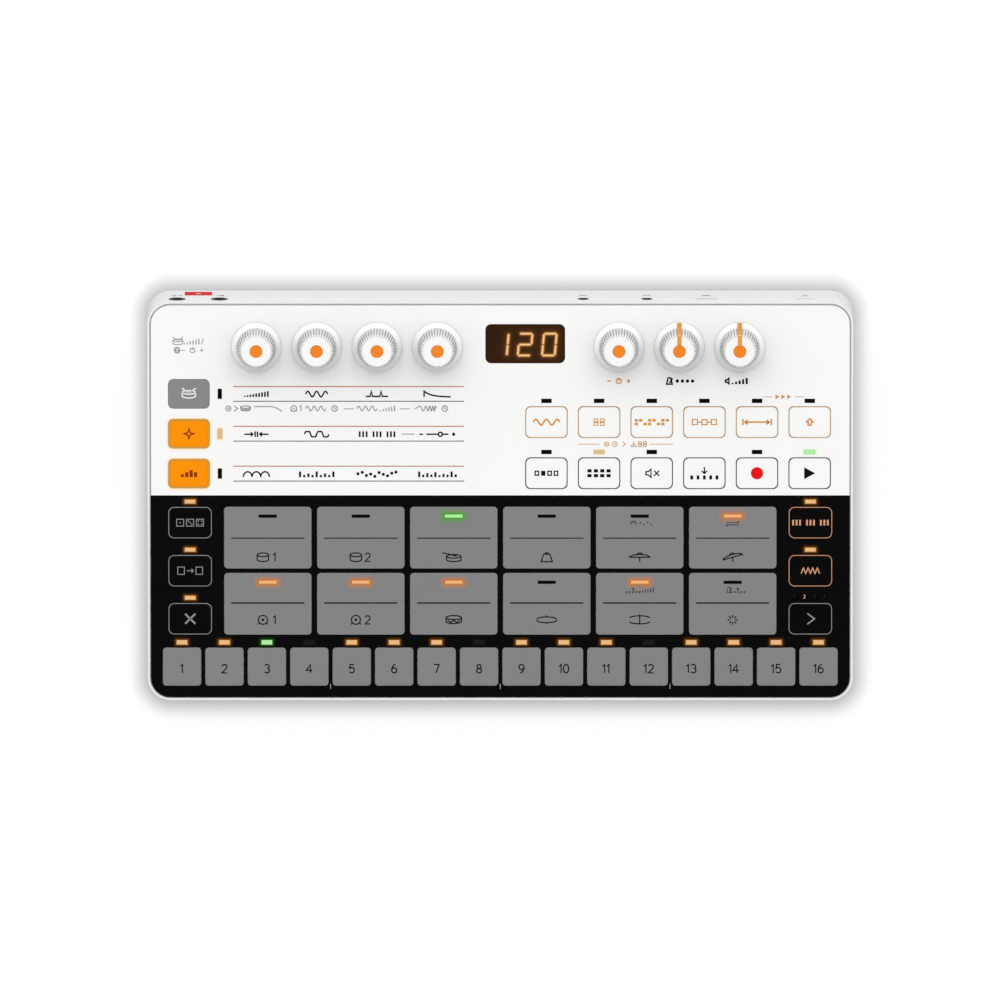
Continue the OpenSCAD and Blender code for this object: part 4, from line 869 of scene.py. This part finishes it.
mesh = bmesh.new()
PAD_LABELS = ((-5.9, 0.3), (-7.2, -0.2))
PAD_SYMBOLS = (
    ("kick", "kick", "snare", "closed", "open", "clap"), ("tom", "tom", "rim", "cowbell", "ride", "crash"),
)
for r, v in enumerate(PAD_VS):
    low, up = PAD_LABELS[r]
    for i, symbol in enumerate(PAD_SYMBOLS[r]):
        x = (i - 2.5) * PAD_PITCH
        rule(mesh, x - 13.3, x + 13.3, v + up, 0.5, 1 if r else 0)
        glyph(mesh, on_top, symbol, x - (1.8 if i < 2 else 0), v + low, 3.3, 0.42, 0)
        if i < 2:
            number(mesh, on_top, str(i + 1), x + 2.5, v + low, 3.0, 0.44, 0)
for i, r, dx, symbol in (
    (1.5, 1, -2.3, "ports"), (1.5, 1, 2.2, "scatter_short"), (2.5, 1, 0, "swap"),
    (1.5, 0, -2.4, "tap"), (1.5, 0, 2.5, "force"), (2.5, 0, -1.3, "metronome"), (2.5, 0, 1.9, "tap"),
):
    glyph(mesh, on_top, symbol, i * PAD_PITCH + dx, PAD_VS[r] + 5.1, 1.9, 0.3, 1)
piece("pad_print", mesh, "case", [INKS["black"], INKS["slate"]])

mesh = bmesh.new()
for i in range(16):
    number(mesh, on_top, str(i + 1), (i - 7.5) * STEP_PITCH, 10.55, 3.1, 0.46, 0)
piece("step_print", mesh, "case", [INKS["black"]])

# ---- print on the rear face ----

mesh = bmesh.new()
on_label = shifted(on_rear, -109.6, 18.6)
fill(mesh, on_label, block(0, 0, 9.9, 8.1), 0)
fill(mesh, on_label, [(1.1, -0.6), (0, 0.9), (-1.1, -0.6)], 1, height=2 * INK_T)
for x, symbol in (
    (-117.2, "out"), (-101.9, "in"), (30.1, "ports"), (53.15, "ports"), (74.75, "plug"), (110.5, "power"),
):
    glyph(mesh, on_rear, symbol, x, 14.0, 2.1, 0.32, 2)
piece("rear_print", mesh, "case", [INKS["crimson"], INKS["white"], INKS["black"]])

# ---- bushes in the rear face's round holes ----

BUSH_DEEP, BUSH_PROUD, BUSH_CHAMFER = 1.9, 0.15, 0.12


def depth_of(node):
    """How deep below the film the middle of a node lies."""
    depths = [-slope_place(vert.co)[2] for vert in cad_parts[node].data.vertices]
    return (min(depths) + max(depths)) / 2


def skin(mesh, loops):
    """Faces from each closed loop of corners to the next, and from the last to the first."""
    for a, b in zip(loops, loops[1:] + loops[:1]):
        for i in range(len(a)):
            j = (i + 1) % len(a)
            mesh.faces.new((a[i], a[j], b[j], b[i]))


def bush(mesh, x, d, bore_r, hole_r, flange_r, steps=32):
    """A ring that lines a hole, with a flange that laps over the face."""
    profile = (
        (bore_r + BUSH_CHAMFER, BUSH_PROUD), (flange_r - 0.06, BUSH_PROUD), (flange_r, BUSH_PROUD - 0.06),
        (flange_r, -SINK), (hole_r - SINK, -SINK), (hole_r - SINK, -BUSH_DEEP), (bore_r, -BUSH_DEEP),
        (bore_r, BUSH_PROUD - BUSH_CHAMFER),
    )
    turns = [2 * math.pi * i / steps for i in range(steps)]
    rings = [
        [mesh.verts.new(on_rear(x + r * math.cos(turn), d + r * math.sin(turn), w)) for r, w in profile]
        for turn in turns
    ]
    skin(mesh, rings)


mesh = bmesh.new()
for node, xs, radii in (
    ("audio_jacks", (-117.2, -101.9), (2.2, 2.85, 3.1)), ("data_jacks", (30.1, 53.15), (1.4, 1.875, 2.05)),
):
    for x in xs:
        bush(mesh, x, depth_of(node), *radii)
piece("jack_bushes", mesh, "case", [black_plastic])

# ---- halos round lit lamps ----

AROUND = {
    "black": glow_light(surface("glow_on_black_film", *BLACK_FILM, **MATT)),
    "grey": surface("glow_on_grey_film", *GREY_FILM, colour_from=carried_colour, **MATT),
    "white": surface("glow_on_white_film", *WHITE_FILM, colour_from=carried_colour),
}
DARK = "000000"
# What a lamp's light looks like on the film beside it, how fast it fades, and how far it reaches
SHINES = {
    "a": ("9D5D00", DARK, 0.32, 1.5), "s": ("9D5D00", DARK, 0.32, 1.5), "g": ("24800C", DARK, 0.32, 1.5),
    "u": ("0C0A08", DARK, 0.6, 1.0),
    "o": ("D37800", "838383", 0.85, 2.8), "h": ("42A200", "838383", 1.2, 2.8),
    "p": ("FFE2C4", WHITE_FILM[0], 0.5, 1.4), "q": ("F6DCA8", WHITE_FILM[0], 0.5, 1.1),
    "m": ("C6F4BA", WHITE_FILM[0], 0.9, 2.0), "key": ("FFDC96", WHITE_FILM[0], 0.5, 1.25),
}
RINGS, RING_SPREAD = 8, 1.3
FREE = (9.0, 9.0)     # more room than any halo needs
LIT_KEY = (15.12, 10.87, 1.9)    # a lit key's width, length and corner, with its gap


def rooms(v, around):
    """How far a lamp's halo may reach down and up the slope before it meets a tile or the film's end."""
    if v < STEP_LED_V + 1:
        return 1.1, 1.75
    if around == "black":
        return 1.0, DARK_FILM_END - v - 0.8
    return (1.0, 1.0) if around == "white" and v < FUNC_LED_V + 1 else FREE


def halo(mesh, x, v, width, length, radius, state, room=FREE):
    """Rings of film round a lamp or key, whose vertices carry its glow."""
    near, far, fade, reach = SHINES[state]
    near, far = linear(near), linear(far)
    layer = mesh.verts.layers.float_color.get("glow") or mesh.verts.layers.float_color.new("glow")
    loops = []
    for k, height in [(k, GLOW_T) for k in range(RINGS + 1)] + [(RINGS, -SINK), (0, -SINK)]:
        away = reach * (k / RINGS) ** RING_SPREAD
        last = math.exp(-reach / fade)
        share = (math.exp(-away / fade) - last) / (1 - last)
        outline = rounded(width, length, radius, 5, away, *(away * min(1, space / reach) for space in room))
        loops.append([mesh.verts.new(on_top(x + px, v + pv, height)) for px, pv in outline])
        for vert in loops[-1]:
            vert[layer] = [f + (n - f) * share for n, f in zip(near, far)]
    skin(mesh, loops)


for kind in AROUND:
    mesh = bmesh.new()
    for x, v, width, length, state, around in lamps:
        if around == kind and state != "-":
            halo(mesh, x, v, width + 0.2, length + 0.2, 0.05, state, rooms(v, around))
    if kind == "white":
        for key in ("effect_key", "sequence_key"):
            halo(mesh, *spot(key), *LIT_KEY, "key")
    piece("halo_on_" + kind, mesh, "case", [AROUND[kind]])

# ---- the lit figures ----

FIGURE_W, FIGURE_L = 4.6, 8.0
FIGURE_XS = (0.4, 9.0, 17.8)
FIGURE_V = 129.8
SLANT = 0.09
SEGMENTS = {"1": "bc", "2": "abged", "0": "abcdef"}
SEGMENT_GAP = 0.5     # how far a bar's ends stay off the corners
CORE, CORE_EDGE, FRINGE, WASH = 0.27, 0.05, 0.4, 2.0


# The ends of each bar of a seven-bar figure, in halves of its width and length
BAR_ENDS = {
    "a": (-1, 1, 1, 1), "b": (1, 1, 1, 0), "c": (1, 0, 1, -1), "d": (-1, -1, 1, -1),
    "e": (-1, 0, -1, -1), "f": (-1, 1, -1, 0), "g": (-1, 0, 1, 0),
}


def segment_ends(name, x):
    """The two ends of one bar of a figure, short of its corners."""
    ends = BAR_ENDS[name]
    a, b = (Vector((FIGURE_W / 2 * ends[i], FIGURE_L / 2 * ends[i + 1])) for i in (0, 2))
    along = (b - a).normalized() * SEGMENT_GAP
    a, b = a + along, b - along
    return [Vector((x + p.x + p.y * SLANT, FIGURE_V + p.y)) for p in (a, b)]


segments = [segment_ends(name, x) for figure, x in zip("120", FIGURE_XS) for name in SEGMENTS[figure]]
FIGURE_TONES = [linear(code)[:3] for code in ("FCD296", "A46C2A", "381A05")]


def figure_glow(point):
    """The light at a point of the window: a pale core, an amber fringe and a brown wash."""
    away = math.inf
    for a, b in segments:
        along = b - a
        share = min(max((point - a).dot(along) / along.length_squared, 0), 1)
        away = min(away, (point - a - along * share).length)
    strong = 1 / (1 + math.exp((away - CORE) / CORE_EDGE))
    middle = math.exp(-((max(away - CORE, 0) / FRINGE) ** 2))
    faint = math.exp(-((away / WASH) ** 2))
    return [c * strong + (f * middle + w * faint) * (1 - strong) for c, f, w in zip(*FIGURE_TONES)] + [1.0]


WINDOW_X, WINDOW_V, WINDOW_W, WINDOW_L = 9.05, 130.1, 27.4, 12.9
GRID = 0.14
columns, rows = int(WINDOW_W / GRID), int(WINDOW_L / GRID)
mesh = bmesh.new()
layer = mesh.verts.layers.float_color.new("glow")
net = []
for j in range(rows + 1):
    net.append([])
    for i in range(columns + 1):
        point = Vector((WINDOW_X + (i - columns / 2) * GRID, WINDOW_V + (j - rows / 2) * GRID))
        vert = mesh.verts.new(on_top(point.x, point.y, GLOW_T))
        vert[layer] = figure_glow(point)
        net[-1].append(vert)
for j in range(rows):
    for i in range(columns):
        mesh.faces.new((net[j][i], net[j][i + 1], net[j + 1][i + 1], net[j + 1][i]))
border = net[0] + [row[-1] for row in net[1:]] + net[-1][-2::-1] + [row[0] for row in net[-2:0:-1]]
base = [mesh.verts.new(v.co - (on_top(0, 0, SINK + GLOW_T) - on_top(0, 0, 0))) for v in border]
for i in range(len(border)):
    j = (i + 1) % len(border)
    mesh.faces.new((border[i], border[j], base[j], base[i]))
mesh.faces.new(base)
figures = surface("lit_acrylic_brown", "331F11", "2F1C0F", 0.3, 0.6, 0.001, **MATT)
piece("display_figures", mesh, "case", [glow_light(figures)])

# ---- moulded marks on the underside ----

GRIP_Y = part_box("battery_door")[0].y / MM + 10
GRIP_PITCH, GRIP_T = 1.6, 0.25
mesh = bmesh.new()
for x in (-18, 18):
    fill(mesh, shifted(under, x, GRIP_Y + 8), [(-2.2, -1.6), (2.2, -1.6), (0, 2.0)], 0, height=GRIP_T)
for i in range(5):
    fill(mesh, shifted(under, 0, GRIP_Y + GRIP_PITCH * i), block(0, 0, 16, 0.6), 0, height=GRIP_T)
piece("door_grip", mesh, "battery_door", [lower_shell])

# ---- floor, light and camera ----

WHITE = (1.0, 1.0, 1.0, 1.0)


def seen_directly(tree):
    """One for rays from the camera, a mirror or through glass, otherwise nought."""
    rays = add(tree, "LightPath").outputs
    first = maths(tree, "MAXIMUM", rays["Is Camera Ray"], rays["Is Glossy Ray"])
    return maths(tree, "MAXIMUM", first, rays["Is Transmission Ray"])


# White paper that glows a little where it is seen directly, with a painted shadow: the glow is weaker close
# to the part's outline
CORNER, SHADE_IN, SHADE_OUT = 8.3, 2.0, 8.0
SHADED, UNSHADED = 0.39, 0.87
floor_finish, tree = new_tree("matt_paper_backdrop")
paper = add(tree, "BsdfDiffuse", {"Color": (0.9, 0.9, 0.9, 1.0)})
seen_paper = add(tree, "BsdfDiffuse", {"Color": (0.15, 0.15, 0.15, 1.0)})
axes = add(tree, "SeparateXYZ", {"Vector": add(tree, "TexCoord").outputs["Object"]})
past = {}
for axis, width in zip("XY", cad_box[1] - cad_box[0]):
    far = maths(tree, "ABSOLUTE", axes.outputs[axis])
    past[axis] = maths(tree, "MAXIMUM", maths(tree, "SUBTRACT", far, width / 2 - CORNER * MM), 0.0)
away = add(tree, "VectorMath", {0: add(tree, "CombineXYZ", past).outputs[0]}, operation="LENGTH")
# The painted shadow: less glow the closer the paper lies to the part's outline
lift = add(
    tree, "MapRange",
    {
        "Value": away.outputs["Value"], "From Min": (CORNER - SHADE_IN) * MM,
        "From Max": (CORNER + SHADE_OUT) * MM, "To Min": SHADED, "To Max": UNSHADED,
    },
    interpolation_type="SMOOTHSTEP",
)
glow = add(tree, "Emission", {"Color": WHITE, "Strength": lift.outputs["Result"]})
lifted = add(tree, "AddShader", {0: seen_paper.outputs[0], 1: glow.outputs[0]})
chosen = add(tree, "MixShader", {0: seen_directly(tree), 1: paper.outputs[0], 2: lifted.outputs[0]})
add(tree, "OutputMaterial", {"Surface": chosen.outputs[0]})
mesh = bmesh.new()
bmesh.ops.create_grid(mesh, x_segments=8, y_segments=8, size=6.0)
bmesh.ops.translate(mesh, verts=mesh.verts, vec=(0, 0, -0.1 * MM))
data = bpy.data.meshes.new("backdrop")
mesh.to_mesh(data)
mesh.free()
floor = bpy.data.objects.new("backdrop", data)
scene.collection.objects.link(floor)
data.materials.append(floor_finish)

world = bpy.data.worlds.new("studio")
scene.world = world
world.use_nodes = True
tree = world.node_tree
tree.nodes.clear()
# The room's soft light is a little stronger from the rear. Light that reaches the part by way of another
# surface counts for less, so that the hollows between its pale knobs stay shaded.
axes = add(tree, "SeparateXYZ", {"Vector": add(tree, "TexCoord").outputs["Generated"]})
rear = add(tree, "MapRange", {"Value": axes.outputs["Y"], "From Min": -1.0, "To Min": 0.3, "To Max": 1.5})
bounces = add(
    tree, "MapRange",
    {
        "Value": add(tree, "LightPath").outputs["Ray Depth"], "From Min": 2.0, "From Max": 3.0,
        "To Min": 1.0, "To Max": 0.15,
    },
)
soft = maths(tree, "MULTIPLY", rear.outputs["Result"], bounces.outputs["Result"])
room = add(tree, "Background", {"Color": WHITE, "Strength": soft})
seen = add(tree, "Background", {"Color": WHITE, "Strength": 1.0})
chosen = add(tree, "MixShader", {0: seen_directly(tree), 1: room.outputs[0], 2: seen.outputs[0]})
add(tree, "OutputWorld", {"Surface": chosen.outputs[0]})


def softbox(name, place, size, watts):
    """A square lamp aimed at the middle of the part."""
    light = bpy.data.lights.new(name, "AREA")
    light.size = size
    light.energy = watts
    made = bpy.data.objects.new(name, light)
    scene.collection.objects.link(made)
    made.location = place
    made.rotation_mode = "QUATERNION"
    made.rotation_quaternion = (Vector((0, 0, 0.02)) - Vector(place)).to_track_quat("-Z", "Y")
    made.visible_camera = False


softbox("overhead_softbox", (0.0, 0.1, 2.0), 1.0, 2.0)
softbox("left_rear_softbox", (-0.6, 0.9, 1.8), 0.6, 3.5)
softbox("right_rear_softbox", (0.6, 0.9, 1.8), 0.6, 3.5)

# A long lens looks straight down from far above. VIEW_W is the width it sees at the height AIM_Z.
AIM_X, AIM_Y, AIM_Z = -0.1, -1.67, 28.0
FAR, SENSOR_W, VIEW_W = 12000.0, 36.0, 362.87
camera = bpy.data.objects.new("camera", bpy.data.cameras.new("camera"))
camera.data.sensor_width = SENSOR_W
camera.data.lens = SENSOR_W * FAR / VIEW_W
camera.data.clip_end = 50.0
camera.location = Vector((AIM_X, AIM_Y, AIM_Z + FAR)) * MM
scene.collection.objects.link(camera)
scene.camera = camera
scene.view_settings.view_transform = "Standard"
